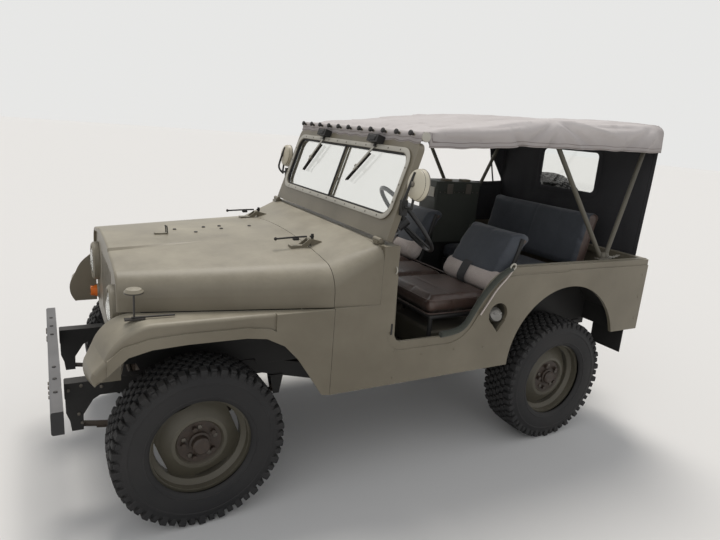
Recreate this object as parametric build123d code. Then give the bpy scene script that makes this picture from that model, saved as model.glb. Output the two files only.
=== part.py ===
from build123d import *
import math
import os

# An open-topped army 4x4 car with a canvas top, in millimetres.
# X points forward, Y to the car's left and Z up. The origin is on the ground, under the middle of
# the car.

# Driving dimensions of the whole car.
FRONT_OVERHANG = 555.0
WHEELBASE = 2057.0
TAIL_BEHIND_AXLE = 640.0
SPARE_GAP = 48.0
TYRE_WIDTH = 220.0
LENGTH = FRONT_OVERHANG + WHEELBASE + TAIL_BEHIND_AXLE + SPARE_GAP + TYRE_WIDTH
TRACK = 1248.0
BODY_HALF_WIDTH = 735.0
X_FRONT = LENGTH / 2 - FRONT_OVERHANG
X_REAR = X_FRONT - WHEELBASE
CLEARANCE = 1.0

# Wheels and tyres.
TYRE_RADIUS = 365.0
TYRE_BEAD_RADIUS = 212.0
LUG_COUNT = 22
LUG_HEIGHT = 15.0
LUG_LENGTH = 52.0
LUG_INNER_Y = 12.0
RIM_FLANGE_RADIUS = 221.0
RIM_WIDTH = 134.0
RIM_WALL = 6.0
DISC_EDGE_RADIUS = 168.0
DISC_FACE_Y = 34.0
DISC_WALL = 7.0
HUB_RADIUS = 46.0
HUB_NOSE = 52.0
DRUM_RADIUS = 140.0
DRUM_INNER_Y = -34.0
STUD_CIRCLE_RADIUS = 69.85
STUD_RADIUS = 11.0
STUD_COUNT = 5
DISC_SLOTS = 4
DISC_CHORD = 164.0

# Steering.
KINGPIN_INSET = 119.0
KINGPIN_Y = TRACK / 2 - KINGPIN_INSET
STEER_ARM = 175.0
STEER_ARM_Z = TYRE_RADIUS + 35.0
TIE_ROD_Z = TYRE_RADIUS + 7.0
TIE_ROD_RADIUS = 12.0
SWIVEL_RADIUS = 80.0
SWIVEL_WALL = 11.0
SWIVEL_GAP = 6.0
TOP_ARM_Z = TYRE_RADIUS + 69.0
TOP_ARM_THICKNESS = 12.0
HUB_GAP = 5.0
DRAG_ARM = 150.0
DRAG_LINK_Z = TYRE_RADIUS + 97.0
DRAG_LINK_RADIUS = 10.0
PITMAN_BACK = 350.0
PITMAN_THICKNESS = 14.0
PITMAN_Y = 288.0
STEERING_WHEEL_BACK = 1120.0
STEERING_WHEEL_Y = 400.0
STEERING_WHEEL_Z = 1275.0
STEERING_WHEEL_RADIUS = 215.0
STEERING_WHEEL_GRIP = 11.0
COLUMN_RADIUS = 22.0
COLUMN_SHAFT_RADIUS = 10.0

# Ladder frame, axles and springs.
RAIL_Y = 333.0
RAIL_WIDTH = 44.0
RAIL_BOTTOM_FRONT = 498.0
RAIL_BOTTOM_MIDDLE = 430.0
RAIL_BOTTOM_REAR = 540.0
RAIL_DEPTH = 78.0
RAIL_DEPTH_MIDDLE = 95.0
AXLE_TUBE_RADIUS = 36.0
DIFF_RADIUS = 118.0
DIFF_HALF = 106.0
DIFF_Y = -190.0
SPRING_LEAVES = 5
LEAF_THICKNESS = 7.0
LEAF_WIDTH = RAIL_WIDTH - 2 * CLEARANCE
FRONT_SPRING_HALF = 455.0
REAR_SPRING_HALF = 540.0
SPRING_EYE_RADIUS = 17.0
U_BOLT_RADIUS = 6.0
FRONT_SPRING_FRONT_EYE = TYRE_RADIUS + 7.0
FRONT_SPRING_REAR_EYE = TYRE_RADIUS + 35.0
REAR_SPRING_FRONT_EYE = TYRE_RADIUS + 40.0
REAR_SPRING_REAR_EYE = TYRE_RADIUS + 75.0

# Bumper and tow gear.
BUMPER_HALF_LENGTH = 645.0
BUMPER_BOTTOM = 497.0
BUMPER_TOP = 594.0
BUMPER_DEPTH = 46.0
BUMPER_WALL = 6.0
GUSSET_WALL = 8.0
GUSSET_HEAD_HALF = 34.0
GUSSET_FOOT_HALF = 15.0
EXHAUST_RADIUS = 19.0
EXHAUST_BEND = 70.0
APRON_GAP = 12.0

# Body tub. Stations named BACK are measured rearward from the front axle.
SEAM_BACK = 571.0
POST_BACK = 880.0
POST_FRONT_BACK = 800.0
SILL_Z = 742.0
BODY_BOTTOM = 532.0
QUARTER_BOTTOM = 630.0
QUARTER_TOP = 1040.0
RAIL_TOP = 1078.0
DOOR_SLOPE_FOOT_BACK = 1290.0
DOOR_SLOPE_HEAD_BACK = 1495.0
ARCH_RADIUS = 420.0
ARCH_CENTRE_Z = 526.0
SIDE_WALL = 20.0
SHEET = 6.0
OPENING_RIM = 42.0
OPENING_RIM_DEPTH = 4.0
TOP_RAIL_WIDTH = 42.0
FLOOR_Z = 566.0
REAR_FLOOR_Z = 646.0
WHEELHOUSE_WIDTH = 255.0
WHEELHOUSE_Y = BODY_HALF_WIDTH - WHEELHOUSE_WIDTH
WHEELHOUSE_TOP = 962.0
WHEELHOUSE_HALF = 438.0
FILLER_BACK = 1530.0
FILLER_Z = 815.0
FILLER_NECK_RADIUS = 26.0
FILLER_CAP_RADIUS = 36.0

# Cowl, hood, grille and fenders.
HOOD_REAR_HALF = BODY_HALF_WIDTH - 13.0
HOOD_FRONT_HALF = 556.0
HOOD_FRONT = 305.0
HOOD_BOTTOM = 942.0
HOOD_WALL = 5.0
COWL_TOP = 1172.0
SCREEN_BACK = 835.0
SCREEN_FOOT_Z = 1225.0
SCREEN_RAKE = 18.1
SCREEN_HEIGHT = 475.0
SCREEN_HALF_FOOT = BODY_HALF_WIDTH - 30.0
SCREEN_HALF_HEAD = SCREEN_HALF_FOOT - 17.0
SCREEN_FRAME_DEPTH = 34.0
GLASS_HALF = SCREEN_HALF_HEAD - 48.0
GLASS_RIM_WIDTH = 24.0
GLASS_RIM_DEPTH = 7.0
GLASS_LOW = 112.0
GLASS_HIGH = 412.0
GLASS_CORNER = 62.0
DIVIDER_WIDTH = 14.0
GLASS_THICKNESS = 6.0
HEADER_HEIGHT = 488.0
HEADER_RADIUS = 20.0
HOOK_COUNT = 11
HOOK_REACH = 24.0
GRILLE_FRONT = 292.0
GRILLE_WALL = 8.0
GRILLE_BOTTOM = 640.0
GRILLE_SLOTS = 8
GRILLE_SLOT_WIDTH = 34.0
GRILLE_SLOT_HEIGHT = 300.0
GRILLE_SLOT_Z = 868.0
GRILLE_SLOT_PITCH = 56.0
GRILLE_CORNER_CUT = 70.0
SLOT_COLLAR = 4.0
SLOT_COLLAR_DEPTH = 18.0
LAMP_Y = 425.0
LAMP_Z = 915.0
LAMP_RADIUS = 103.0
FENDER_TOP = 938.0
FENDER_WALL = 8.0
FENDER_BEAD = 8.0
FENDER_ROUND = 20.0
FENDER_BEAD_HEIGHT = 44.0
FENDER_BEAD_END = 360.0
FENDER_SEAM_BACK = 300.0
MARKER_TOP = 1068.0
HOOD_BROW_RADIUS = 10.0
HOOD_LIP_DEPTH = 12.0
HOOD_BULGE_HALF = 252.0
HOOD_BULGE_RISE = 11.0
HOOD_BULGE_END_BACK = 240.0
HINGE_Y = 400.0
HINGE_Z = 1180.0
HINGE_PIN_RADIUS = 6.0
HINGE_WIDTH = 30.0

# Canvas top and its bows.
ROOF_HALF = BODY_HALF_WIDTH - 67.0
ROOF_REAR_TOP = 1888.0
ROOF_FRONT_TOP = 1760.0
ROOF_BOW_TOP = 1842.0
ROOF_FLAP_FRONT = 1655.0
ROOF_FLAP_REAR = 1708.0
CANVAS = 6.0
BOW_RADIUS = 13.0
BOW_FOOT_BEHIND_AXLE = 290.0
CURTAIN_BEHIND_AXLE = 631.0
ROOF_END_BEHIND_AXLE = 643.0
REAR_WINDOW_Z = 1545.0
REAR_WINDOW_WIDTH = 520.0
REAR_WINDOW_HEIGHT = 290.0
BOW_FOOT_Z = 1060.0

# Seats and load.
SEAT_FRONT_BACK = 1150.0
SEAT_REAR_BACK = 1600.0
SEAT_TOP = 905.0
SEAT_PAD = 88.0
SEAT_INNER_Y = 168.0
SEAT_OUTER_Y = BODY_HALF_WIDTH - 99.0
SEAT_TUBE_RADIUS = 12.0
SEAT_ROLL_RADIUS = 46.0
REAR_SEAT_FRONT_AHEAD = 47.0
REAR_SEAT_DEPTH = 410.0
REAR_SEAT_TOP = 940.0
REAR_SEAT_PAD = 98.0

# Spare wheel.
SPARE_Y = -360.0
SPARE_Z = 1130.0


def back(distance):
    """X of a station measured rearward from the front axle."""
    return X_FRONT - distance


def behind(distance):
    """X of a station measured rearward from the rear axle."""
    return X_REAR - distance


def block(x0, x1, y0, y1, z0, z1):
    """A box between two corners, given in any order."""
    return Pos((x0 + x1) / 2, (y0 + y1) / 2, (z0 + z1) / 2) * Box(abs(x1 - x0), abs(y1 - y0), abs(z1 - z0))


def side_face(points, y):
    """A flat face in the side view, from X and Z points, standing at one Y."""
    return Pos(0, y, 0) * make_face(Plane.XZ * Polyline(*points, close=True))


def side_plate(points, y0, y1):
    """A side-view outline made solid between two Y values."""
    return extrude(side_face(points, min(y0, y1)), amount=abs(y1 - y0), dir=(0, 1, 0))


def rod(start, end, radius):
    """A round bar between two points."""
    run = Vector(*end) - Vector(*start)
    return extrude(Plane(origin=start, z_dir=run) * Circle(radius), amount=run.length)


def tube_bar(start, end, radius, wall):
    """A round tube between two points."""
    return rod(start, end, radius) - rod(start, end, radius - wall)


def both_sides(piece):
    """A piece on the left and its mirror on the right."""
    return [piece, mirror(piece, Plane.XZ)]


def solids_of(*pieces):
    """One compound of the solids of several pieces."""
    return Compound(children=[solid for piece in pieces for solid in piece.solids()])


# Tyre: a mitred ring of flat-sided sectors, each with one lug on either shoulder.
def tyre():
    half = TYRE_WIDTH / 2
    base = TYRE_RADIUS - LUG_HEIGHT
    bead = RIM_WIDTH / 2 - RIM_WALL - CLEARANCE
    outline = [
        (TYRE_BEAD_RADIUS, -bead),
        (RIM_FLANGE_RADIUS + CLEARANCE, -bead),
        (TYRE_BEAD_RADIUS + 40, -half + 14),
        (TYRE_BEAD_RADIUS + 78, -half + 2),
        (base - 26, -half + 9),
        (base, -half + 30),
        (base, half - 30),
        (base - 26, half - 9),
        (TYRE_BEAD_RADIUS + 78, half - 2),
        (TYRE_BEAD_RADIUS + 40, half - 14),
        (RIM_FLANGE_RADIUS + CLEARANCE, bead),
        (TYRE_BEAD_RADIUS, bead),
    ]
    half_angle = 180.0 / LUG_COUNT
    reach = TYRE_RADIUS * 1.2
    spread = reach * math.tan(math.radians(half_angle))
    section = make_face(Plane.XY * Polyline(*outline, close=True))
    sector = extrude(section, amount=spread, dir=(0, 0, 1)) + extrude(section, amount=spread, dir=(0, 0, -1))
    lug_profile = [
        (base - 34, half),
        (TYRE_RADIUS - 14, half - 4),
        (TYRE_RADIUS, half - 26),
        (TYRE_RADIUS, LUG_INNER_Y),
        (base - 6, LUG_INNER_Y - 6),
        (base - 34, half - 30),
    ]
    lug_face = make_face(Plane.XY * Polyline(*lug_profile, close=True))
    lug = Pos(0, 0, -LUG_LENGTH / 2) * extrude(lug_face, amount=LUG_LENGTH, dir=(0, 0, 1))
    wedge = Polygon((0, 0), (reach, -spread), (reach, spread), align=None)
    mitre = Pos(0, half + 20, 0) * extrude(Plane.XZ * wedge, amount=TYRE_WIDTH + 40, dir=(0, -1, 0))
    sector = (sector & mitre) + lug
    other_lug = Rot(0, half_angle, 0) * mirror(lug, Plane.XZ)
    step = 2 * half_angle
    ring = [Rot(0, step * n, 0) * sector for n in range(LUG_COUNT)]
    lugs = [Rot(0, step * n, 0) * other_lug for n in range(LUG_COUNT)]
    body = ring[0].fuse(*ring[1:])
    body = body.fuse(*lugs)
    return body


# Pressed steel wheel with its drum, hub and wheel nuts, turned about the Y axis, outer face to +Y.
def wheel(hub_nose, with_drum=True):
    half = RIM_WIDTH / 2
    well = TYRE_BEAD_RADIUS - 26
    barrel = [
        (RIM_FLANGE_RADIUS, half),
        (RIM_FLANGE_RADIUS, half - RIM_WALL),
        (TYRE_BEAD_RADIUS - CLEARANCE, half - RIM_WALL),
        (TYRE_BEAD_RADIUS - CLEARANCE, half - 30),
        (well + RIM_WALL, half - 46),
        (well + RIM_WALL, -half + 46),
        (TYRE_BEAD_RADIUS - CLEARANCE, -half + 30),
        (TYRE_BEAD_RADIUS - CLEARANCE, -half + RIM_WALL),
        (RIM_FLANGE_RADIUS, -half + RIM_WALL),
        (RIM_FLANGE_RADIUS, -half),
        (TYRE_BEAD_RADIUS - RIM_WALL, -half),
        (TYRE_BEAD_RADIUS - RIM_WALL, -half + 32),
        (well, -half + 48),
        (well, half - 48),
        (TYRE_BEAD_RADIUS - RIM_WALL, half - 32),
        (TYRE_BEAD_RADIUS - RIM_WALL, half),
    ]
    disc = [
        (0, DISC_FACE_Y - DISC_WALL),
        (0, DISC_FACE_Y),
        (94, DISC_FACE_Y),
        (104, DISC_FACE_Y + 12),
        (118, DISC_FACE_Y + 10),
        (DISC_EDGE_RADIUS, DISC_FACE_Y - 24),
        (well + 2, DISC_FACE_Y - 34),
        (well + 2, DISC_FACE_Y - 34 - DISC_WALL),
        (DISC_EDGE_RADIUS, DISC_FACE_Y - 24 - DISC_WALL),
        (118, DISC_FACE_Y + 10 - DISC_WALL),
        (106, DISC_FACE_Y + 12 - DISC_WALL),
        (97, DISC_FACE_Y - DISC_WALL),
    ]
    drum = [
        (0, DRUM_INNER_Y),
        (0, DISC_FACE_Y - DISC_WALL),
        (88, DISC_FACE_Y - DISC_WALL),
        (DRUM_RADIUS - 8, DISC_FACE_Y - DISC_WALL - 22),
        (DRUM_RADIUS, DISC_FACE_Y - DISC_WALL - 30),
        (DRUM_RADIUS, DRUM_INNER_Y),
    ]
    nose = [
        (0, DISC_FACE_Y),
        (0, DISC_FACE_Y + hub_nose),
        (HUB_RADIUS - 16, DISC_FACE_Y + hub_nose),
        (HUB_RADIUS - 8, DISC_FACE_Y + hub_nose - 8),
        (HUB_RADIUS - 8, DISC_FACE_Y + 14),
        (HUB_RADIUS, DISC_FACE_Y + 10),
        (HUB_RADIUS, DISC_FACE_Y),
    ]
    profiles = (barrel, disc, drum, nose) if with_drum else (barrel, disc)
    turned = [revolve(make_face(Plane.XY * Polyline(*p, close=True)), Axis.Y) for p in profiles]
    body = turned[0].fuse(*turned[1:])
    if not with_drum:
        body = body - Rot(90, 0, 0) * Cylinder(HUB_RADIUS - 6, 200)
    turn = 360.0 / STUD_COUNT
    nut = extrude(RegularPolygon(STUD_RADIUS, 6), amount=20)
    place = Pos(0, DISC_FACE_Y - 2, 0) * Rot(-90, 0, 0)
    nuts = [Rot(0, turn * n, 0) * Pos(STUD_CIRCLE_RADIUS, 0, 0) * place * nut for n in range(STUD_COUNT)]
    reach = well - CLEARANCE
    crescent = Rot(90, 0, 0) * Cylinder(reach, 2 * DISC_FACE_Y)
    crescent = crescent & block(DISC_CHORD, reach + 5, -DISC_FACE_Y, DISC_FACE_Y, -reach, reach)
    quarter = 360.0 / DISC_SLOTS
    slots = [Rot(0, quarter * n + 22, 0) * crescent for n in range(DISC_SLOTS)]
    return (body.fuse(*nuts)).cut(*slots)


# Ladder frame: two rails with a kick over each axle, each with its horn gussets and spring hangers.
def frame_rails():
    nose = back(-500)
    tail = behind(TAIL_BEHIND_AXLE - 24)
    low, mid, rear = RAIL_BOTTOM_FRONT, RAIL_BOTTOM_MIDDLE, RAIL_BOTTOM_REAR
    rail_line = [
        (nose, low + 4),
        (back(380), low),
        (back(640), mid),
        (behind(-520), mid),
        (behind(-300), rear),
        (tail, rear),
        (tail, rear + RAIL_DEPTH - 12),
        (behind(-270), rear + RAIL_DEPTH),
        (behind(-510), mid + RAIL_DEPTH_MIDDLE),
        (back(600), mid + RAIL_DEPTH_MIDDLE),
        (back(360), low + RAIL_DEPTH),
        (nose, low + RAIL_DEPTH),
    ]
    inner, outer = RAIL_Y - RAIL_WIDTH / 2, RAIL_Y + RAIL_WIDTH / 2
    rail = side_plate(rail_line, inner, outer)
    eye_x = back(-FRONT_SPRING_HALF)
    eye_low = FRONT_SPRING_FRONT_EYE - SPRING_EYE_RADIUS - 4
    gusset_line = [
        (nose - 3, low + RAIL_DEPTH),
        (back(-290), low + RAIL_DEPTH),
        (back(-308), low + 40),
        (back(-389), low - 10),
        (eye_x - 26, low - 74),
        (eye_x - 24, eye_low),
        (eye_x + 22, eye_low),
        (eye_x + 28, low - 98),
        (nose - 3, low - 58),
    ]
    plates = [gusset_line]
    for station, eye_z, high in (
        (back(FRONT_SPRING_HALF), FRONT_SPRING_REAR_EYE, mid + 50),
        (behind(-REAR_SPRING_HALF), REAR_SPRING_FRONT_EYE, mid + 30),
        (behind(REAR_SPRING_HALF), REAR_SPRING_REAR_EYE, rear + 30),
    ):
        low_z = eye_z - SPRING_EYE_RADIUS - 4
        head, foot = GUSSET_HEAD_HALF, GUSSET_FOOT_HALF
        line = [(station - head, high), (station + head, high)]
        plates.append(line + [(station + foot, low_z), (station - foot, low_z)])
    for line in plates:
        outside = side_plate(line, outer, outer + GUSSET_WALL)
        rail = rail.fuse(outside, side_plate(line, inner - GUSSET_WALL, inner))
    return solids_of(*both_sides(rail))


def frame_crossmembers():
    """Five members that butt against the inner faces of the rails."""
    inner = RAIL_Y - RAIL_WIDTH / 2
    low, mid, rear = RAIL_BOTTOM_FRONT, RAIL_BOTTOM_MIDDLE, RAIL_BOTTOM_REAR
    tail = behind(TAIL_BEHIND_AXLE - 24)
    members = [
        block(back(-288), back(-238), -inner, inner, low + 6, low + 60),
        block(back(650), back(710), -inner, inner, mid + 24, mid + 48),
        block(behind(-430), behind(-370), -inner, inner, mid + 34, mid + 90),
        block(behind(250), behind(300), -inner, inner, rear + 8, rear + 60),
        block(tail, tail + 40, -inner, inner, rear, rear + 66),
    ]
    return solids_of(*members)


# Front bumper: a pressed channel, open to the rear, on the frame horns.
def front_bumper():
    face = back(-FRONT_OVERHANG)
    half = BUMPER_HALF_LENGTH
    outer = block(face - BUMPER_DEPTH, face, -half, half, BUMPER_BOTTOM, BUMPER_TOP)
    outer = fillet(outer.edges().filter_by(Axis.Y).group_by(Axis.X)[-1], 10)
    hollow = block(
        face - BUMPER_DEPTH - 1,
        face - BUMPER_WALL,
        -BUMPER_HALF_LENGTH + BUMPER_WALL,
        BUMPER_HALF_LENGTH - BUMPER_WALL,
        BUMPER_BOTTOM + BUMPER_WALL,
        BUMPER_TOP - BUMPER_WALL,
    )
    return outer - hollow


# Rear bumperettes, one at each side of the tow hook.
def rear_bumperettes():
    tail = behind(TAIL_BEHIND_AXLE)
    plate = block(tail - 58, tail - 52, 400, 580, 520, 622)
    arm = block(tail - 54, tail + 26, 440, 520, 548, 596)
    return solids_of(*both_sides(plate + arm))


def tow_hook():
    tail = behind(TAIL_BEHIND_AXLE)
    shank = rod((tail + 20, 0, 573), (tail - 42, 0, 573), 26)
    jaw = Pos(tail - 84, 0, 573) * Rot(90, 0, 0) * (Cylinder(46, 36) - Cylinder(22, 40))
    gap = block(tail - 140, tail - 84, -30, 30, 586, 640)
    return shank + (jaw - gap)


# Axles. Both differentials sit to the right of the middle, in line with the transfer case.
def axle(x, half_length, nose_way):
    z = TYRE_RADIUS
    tube = rod((x, -half_length, z), (x, half_length, z), AXLE_TUBE_RADIUS)
    bulge = [
        (0, -DIFF_HALF),
        (48, -DIFF_HALF),
        (DIFF_RADIUS - 14, -48),
        (DIFF_RADIUS, -20),
        (DIFF_RADIUS, 20),
        (DIFF_RADIUS - 14, 48),
        (48, DIFF_HALF),
        (0, DIFF_HALF),
    ]
    case = Pos(x, DIFF_Y, z) * revolve(make_face(Plane.XY * Polyline(*bulge, close=True)), Axis.Y)
    pinion = rod((x, DIFF_Y, z), (x + nose_way * 210, DIFF_Y, z + 12), 52)
    cover = rod((x, DIFF_Y, z), (x - nose_way * (DIFF_RADIUS + 18), DIFF_Y, z), 88)
    return tube + case + pinion + cover


def leaf_line(x, half, top, eye_z, way):
    """Upper and lower outline of one half of a spring, its leaves ending one after another."""
    steps = SPRING_LEAVES + 1
    reach = [x + way * half * n / steps for n in range(steps + 1)]
    height = [top + (eye_z - top) * (n / steps) ** 2 for n in range(steps + 1)]
    upper = list(zip(reach, height))
    lower = []
    for leaf in range(SPRING_LEAVES):
        tip = steps - leaf
        lower.append((reach[tip], height[tip] - leaf * LEAF_THICKNESS))
        lower.append((reach[tip], height[tip] - (leaf + 1) * LEAF_THICKNESS))
    lower.append((reach[1], height[1] - SPRING_LEAVES * LEAF_THICKNESS))
    return upper, lower[1:]


def leaf_spring(x, half, top, front_eye_z, rear_eye_z):
    """A stack of leaves that hangs under an axle, with an eye at each end and two U-bolts."""
    y0, y1 = RAIL_Y - LEAF_WIDTH / 2, RAIL_Y + LEAF_WIDTH / 2
    front_upper, front_lower = leaf_line(x, half, top, front_eye_z, 1)
    rear_upper, rear_lower = leaf_line(x, half, top, rear_eye_z, -1)
    foot = (x, top - SPRING_LEAVES * LEAF_THICKNESS)
    outline = front_upper + front_lower + [foot] + rear_lower[::-1] + rear_upper[:0:-1]
    stack = side_plate(outline, y0, y1)
    eyes = [rod((x + half, y0, front_eye_z), (x + half, y1, front_eye_z), SPRING_EYE_RADIUS)]
    eyes.append(rod((x - half, y0, rear_eye_z), (x - half, y1, rear_eye_z), SPRING_EYE_RADIUS))
    plate = block(x - 62, x + 62, y0 - 16, y1 + 16, foot[1] - 12, foot[1] + 3)
    over = TYRE_RADIUS + AXLE_TUBE_RADIUS + U_BOLT_RADIUS + CLEARANCE
    span = AXLE_TUBE_RADIUS + U_BOLT_RADIUS + CLEARANCE
    bolts = []
    for y in (y0 - U_BOLT_RADIUS - CLEARANCE, y1 + U_BOLT_RADIUS + CLEARANCE):
        for leg in (x - span, x + span):
            bolts.append(rod((leg, y, foot[1] - 18), (leg, y, over), U_BOLT_RADIUS))
            bolts.append(Pos(leg, y, over) * Sphere(U_BOLT_RADIUS))
        bolts.append(rod((x - span, y, over), (x + span, y, over), U_BOLT_RADIUS))
    return stack.fuse(*eyes, plate, *bolts)


def leaf_springs():
    seat = TYRE_RADIUS - AXLE_TUBE_RADIUS - CLEARANCE
    front = leaf_spring(X_FRONT, FRONT_SPRING_HALF, seat, FRONT_SPRING_FRONT_EYE, FRONT_SPRING_REAR_EYE)
    rear = leaf_spring(X_REAR, REAR_SPRING_HALF, seat, REAR_SPRING_FRONT_EYE, REAR_SPRING_REAR_EYE)
    return solids_of(*both_sides(front), *both_sides(rear))


# Power train, seen from below and through the wheel arches.
def gearbox():
    case = block(back(575), back(900), -105, 105, 480, 560)
    bell = rod((back(560), 0, 520), (back(700), 0, 520), 30)
    transfer = block(back(880), back(1080), -235, 60, 395, 530)
    return fillet(case.edges().filter_by(Axis.X), 20) + bell + fillet(transfer.edges().filter_by(Axis.Z), 24)


def prop_shafts():
    front = rod((back(878), DIFF_Y, 440), (back(222), DIFF_Y, TYRE_RADIUS + 14), 22)
    rear = rod((back(1082), DIFF_Y, 440), (behind(-222), DIFF_Y, TYRE_RADIUS + 14), 24)
    return solids_of(front, rear)


def engine_block():
    return block(back(-120), back(540), -190, 190, 548, 1010)


def exhaust():
    """Down pipe, silencer and a tail pipe that passes over the rear axle."""
    side, level = 190, 434
    silencer = Pos(back(1330), side, level + 14) * Rot(0, 90, 0) * Cylinder(58, 420)
    route = [
        (back(470), side + 26, 610),
        (back(560), side + 12, level - 10),
        (back(1330), side, level),
        (behind(-120), side + 25, level + 8),
        (behind(600), side + 25, 480),
    ]
    line = FilletPolyline(*route, radius=EXHAUST_BEND)
    pipe = sweep(Plane(origin=line @ 0, z_dir=line % 0) * Circle(EXHAUST_RADIUS), path=line)
    return silencer + pipe


# Body side: one pressed panel with the door opening, the rear arch and the rolled top rail.
def door_opening():
    """The door opening in the side view, open at its top, with its three rounded corners."""
    post, foot = back(POST_BACK + 16), back(DOOR_SLOPE_FOOT_BACK)
    head = back(DOOR_SLOPE_HEAD_BACK)
    top = RAIL_TOP - 4
    outline = [
        (back(POST_BACK), SCREEN_FOOT_Z + 60),
        (back(POST_BACK), SCREEN_FOOT_Z - 12),
        (post, SILL_Z),
        (foot, SILL_Z),
        (head, top),
        (head - 500, top),
        (head - 500, SCREEN_FOOT_Z + 60),
    ]
    face = make_face(Polyline(*outline, close=True))
    for corner, radius in (((post, SILL_Z), 45), ((foot, SILL_Z), 145), ((head, top), 235)):
        face = fillet(face.vertices().sort_by_distance((corner[0], corner[1], 0))[0], radius)
    return face


def stand_up(face, y0, y1):
    """A face drawn in X and Z, made solid between two Y values."""
    return Pos(0, max(y0, y1), 0) * Rot(90, 0, 0) * extrude(face, amount=abs(y1 - y0))


def body_side():
    """Pressed side panel with the door opening, the rear arch and the rolled top rail."""
    y0, y1 = BODY_HALF_WIDTH - SIDE_WALL, BODY_HALF_WIDTH
    tail = behind(TAIL_BEHIND_AXLE)
    outline = [
        (back(SEAM_BACK), BODY_BOTTOM - 8),
        (back(SEAM_BACK), FENDER_TOP + 2),
        (back(POST_FRONT_BACK), FENDER_TOP + 2),
        (back(POST_FRONT_BACK), SCREEN_FOOT_Z - 12),
        (back(POST_BACK), SCREEN_FOOT_Z - 12),
        (tail, RAIL_TOP - 4),
        (tail, QUARTER_BOTTOM),
        (X_REAR, QUARTER_BOTTOM),
        (X_REAR, BODY_BOTTOM),
    ]
    opening = door_opening()
    panel = side_plate(outline, y0, y1) - stand_up(opening, y0 - 2, y1 + 2)
    panel = panel - block(back(POST_BACK), tail - 1, y0 - 2, y1 + 2, RAIL_TOP - 4, SCREEN_FOOT_Z + 50)
    rim = stand_up(offset(opening, OPENING_RIM), y1 - OPENING_RIM_DEPTH, y1 + 2)
    rim = rim - block(back(SEAM_BACK), back(POST_BACK + 4), y0, y1 + 5, SILL_Z + 60, SCREEN_FOOT_Z + 150)
    panel = panel - rim
    arch = Pos(X_REAR, (y0 + y1) / 2, ARCH_CENTRE_Z) * Rot(90, 0, 0) * Cylinder(ARCH_RADIUS, SIDE_WALL + 4)
    below = block(X_REAR - ARCH_RADIUS, X_REAR + ARCH_RADIUS, y0 - 2, y1 + 2, BODY_BOTTOM - 30, ARCH_CENTRE_Z)
    panel = panel - arch - below
    flat = block(tail - 2, back(DOOR_SLOPE_HEAD_BACK - 20), y1 - 6, y1 + 2, QUARTER_TOP, RAIL_TOP + 4)
    panel = panel - flat
    rail_front = back(DOOR_SLOPE_HEAD_BACK + 130)
    rail = block(tail, rail_front, y1 - 6 - TOP_RAIL_WIDTH, y1 - SIDE_WALL, QUARTER_TOP + 6, RAIL_TOP)
    return panel + rail


def filler_cutter(depth):
    """The teardrop opening of the fuel filler, narrow at its foot."""
    x, z = back(FILLER_BACK), FILLER_Z
    circle = Pos(x, 0, z + 12) * Rot(90, 0, 0) * Cylinder(62, depth)
    foot = [(x - 56, z + 36), (x + 56, z + 36), (x + 60, z - 10), (x - 8, z - 88), (x - 52, z - 30)]
    return circle + side_plate(foot, -depth / 2, depth / 2)


def body_sides():
    left = body_side()
    right = mirror(body_side(), Plane.XZ)
    left = left - Pos(0, BODY_HALF_WIDTH, 0) * filler_cutter(3 * SIDE_WALL)
    return solids_of(left, right)


def fuel_tank():
    """Tank under the left seat, with the filler neck and cap that stand in the side recess."""
    inner = BODY_HALF_WIDTH - SIDE_WALL - CLEARANCE
    tank = block(back(1205), back(1535), 210, inner - 118, FLOOR_Z + CLEARANCE, FLOOR_Z + 150)
    tank = fillet(tank.edges(), 18)
    pocket_x0, pocket_x1 = back(FILLER_BACK - 84), back(FILLER_BACK + 84)
    pocket = block(pocket_x0, pocket_x1, inner - 66, inner, FILLER_Z - 98, FILLER_Z + 92)
    pocket = pocket - Pos(0, inner + 4, 0) * filler_cutter(124)
    neck_foot = (back(FILLER_BACK + 10), inner - 70, FILLER_Z - 40)
    neck = rod(neck_foot, (back(FILLER_BACK), inner - 26, FILLER_Z - 6), FILLER_NECK_RADIUS)
    cap_foot = (back(FILLER_BACK), inner - 30, FILLER_Z - 8)
    cap = rod(cap_foot, (back(FILLER_BACK - 2), inner - 8, FILLER_Z + 2), FILLER_CAP_RADIUS)
    link = block(back(1450), back(1520), inner - 124, inner - 60, FLOOR_Z + 60, FILLER_Z - 60)
    return tank + pocket + neck + cap + link


def rear_panel():
    tail = behind(TAIL_BEHIND_AXLE)
    inner = BODY_HALF_WIDTH - SIDE_WALL - CLEARANCE
    panel = block(tail, tail + SIDE_WALL, -inner, inner, QUARTER_BOTTOM, QUARTER_TOP)
    rail_inner = BODY_HALF_WIDTH - 6 - TOP_RAIL_WIDTH - CLEARANCE
    rail = block(tail, tail + TOP_RAIL_WIDTH, -rail_inner, rail_inner, QUARTER_TOP, RAIL_TOP)
    return panel + rail


def wheelhouse_line(inset):
    """Side outline of a wheelhouse, brought in by a wall; its ends slope in above the tyre."""
    x0, x1 = behind(WHEELHOUSE_HALF) + inset, behind(-WHEELHOUSE_HALF) - inset
    low = REAR_FLOOR_Z - SHEET - (1 if inset else 0)
    bend, top = WHEELHOUSE_TOP - 202, WHEELHOUSE_TOP - inset
    return [(x0, low), (x0, bend), (x0 + 175, top), (x1 - 175, top), (x1, bend), (x1, low)]


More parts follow.
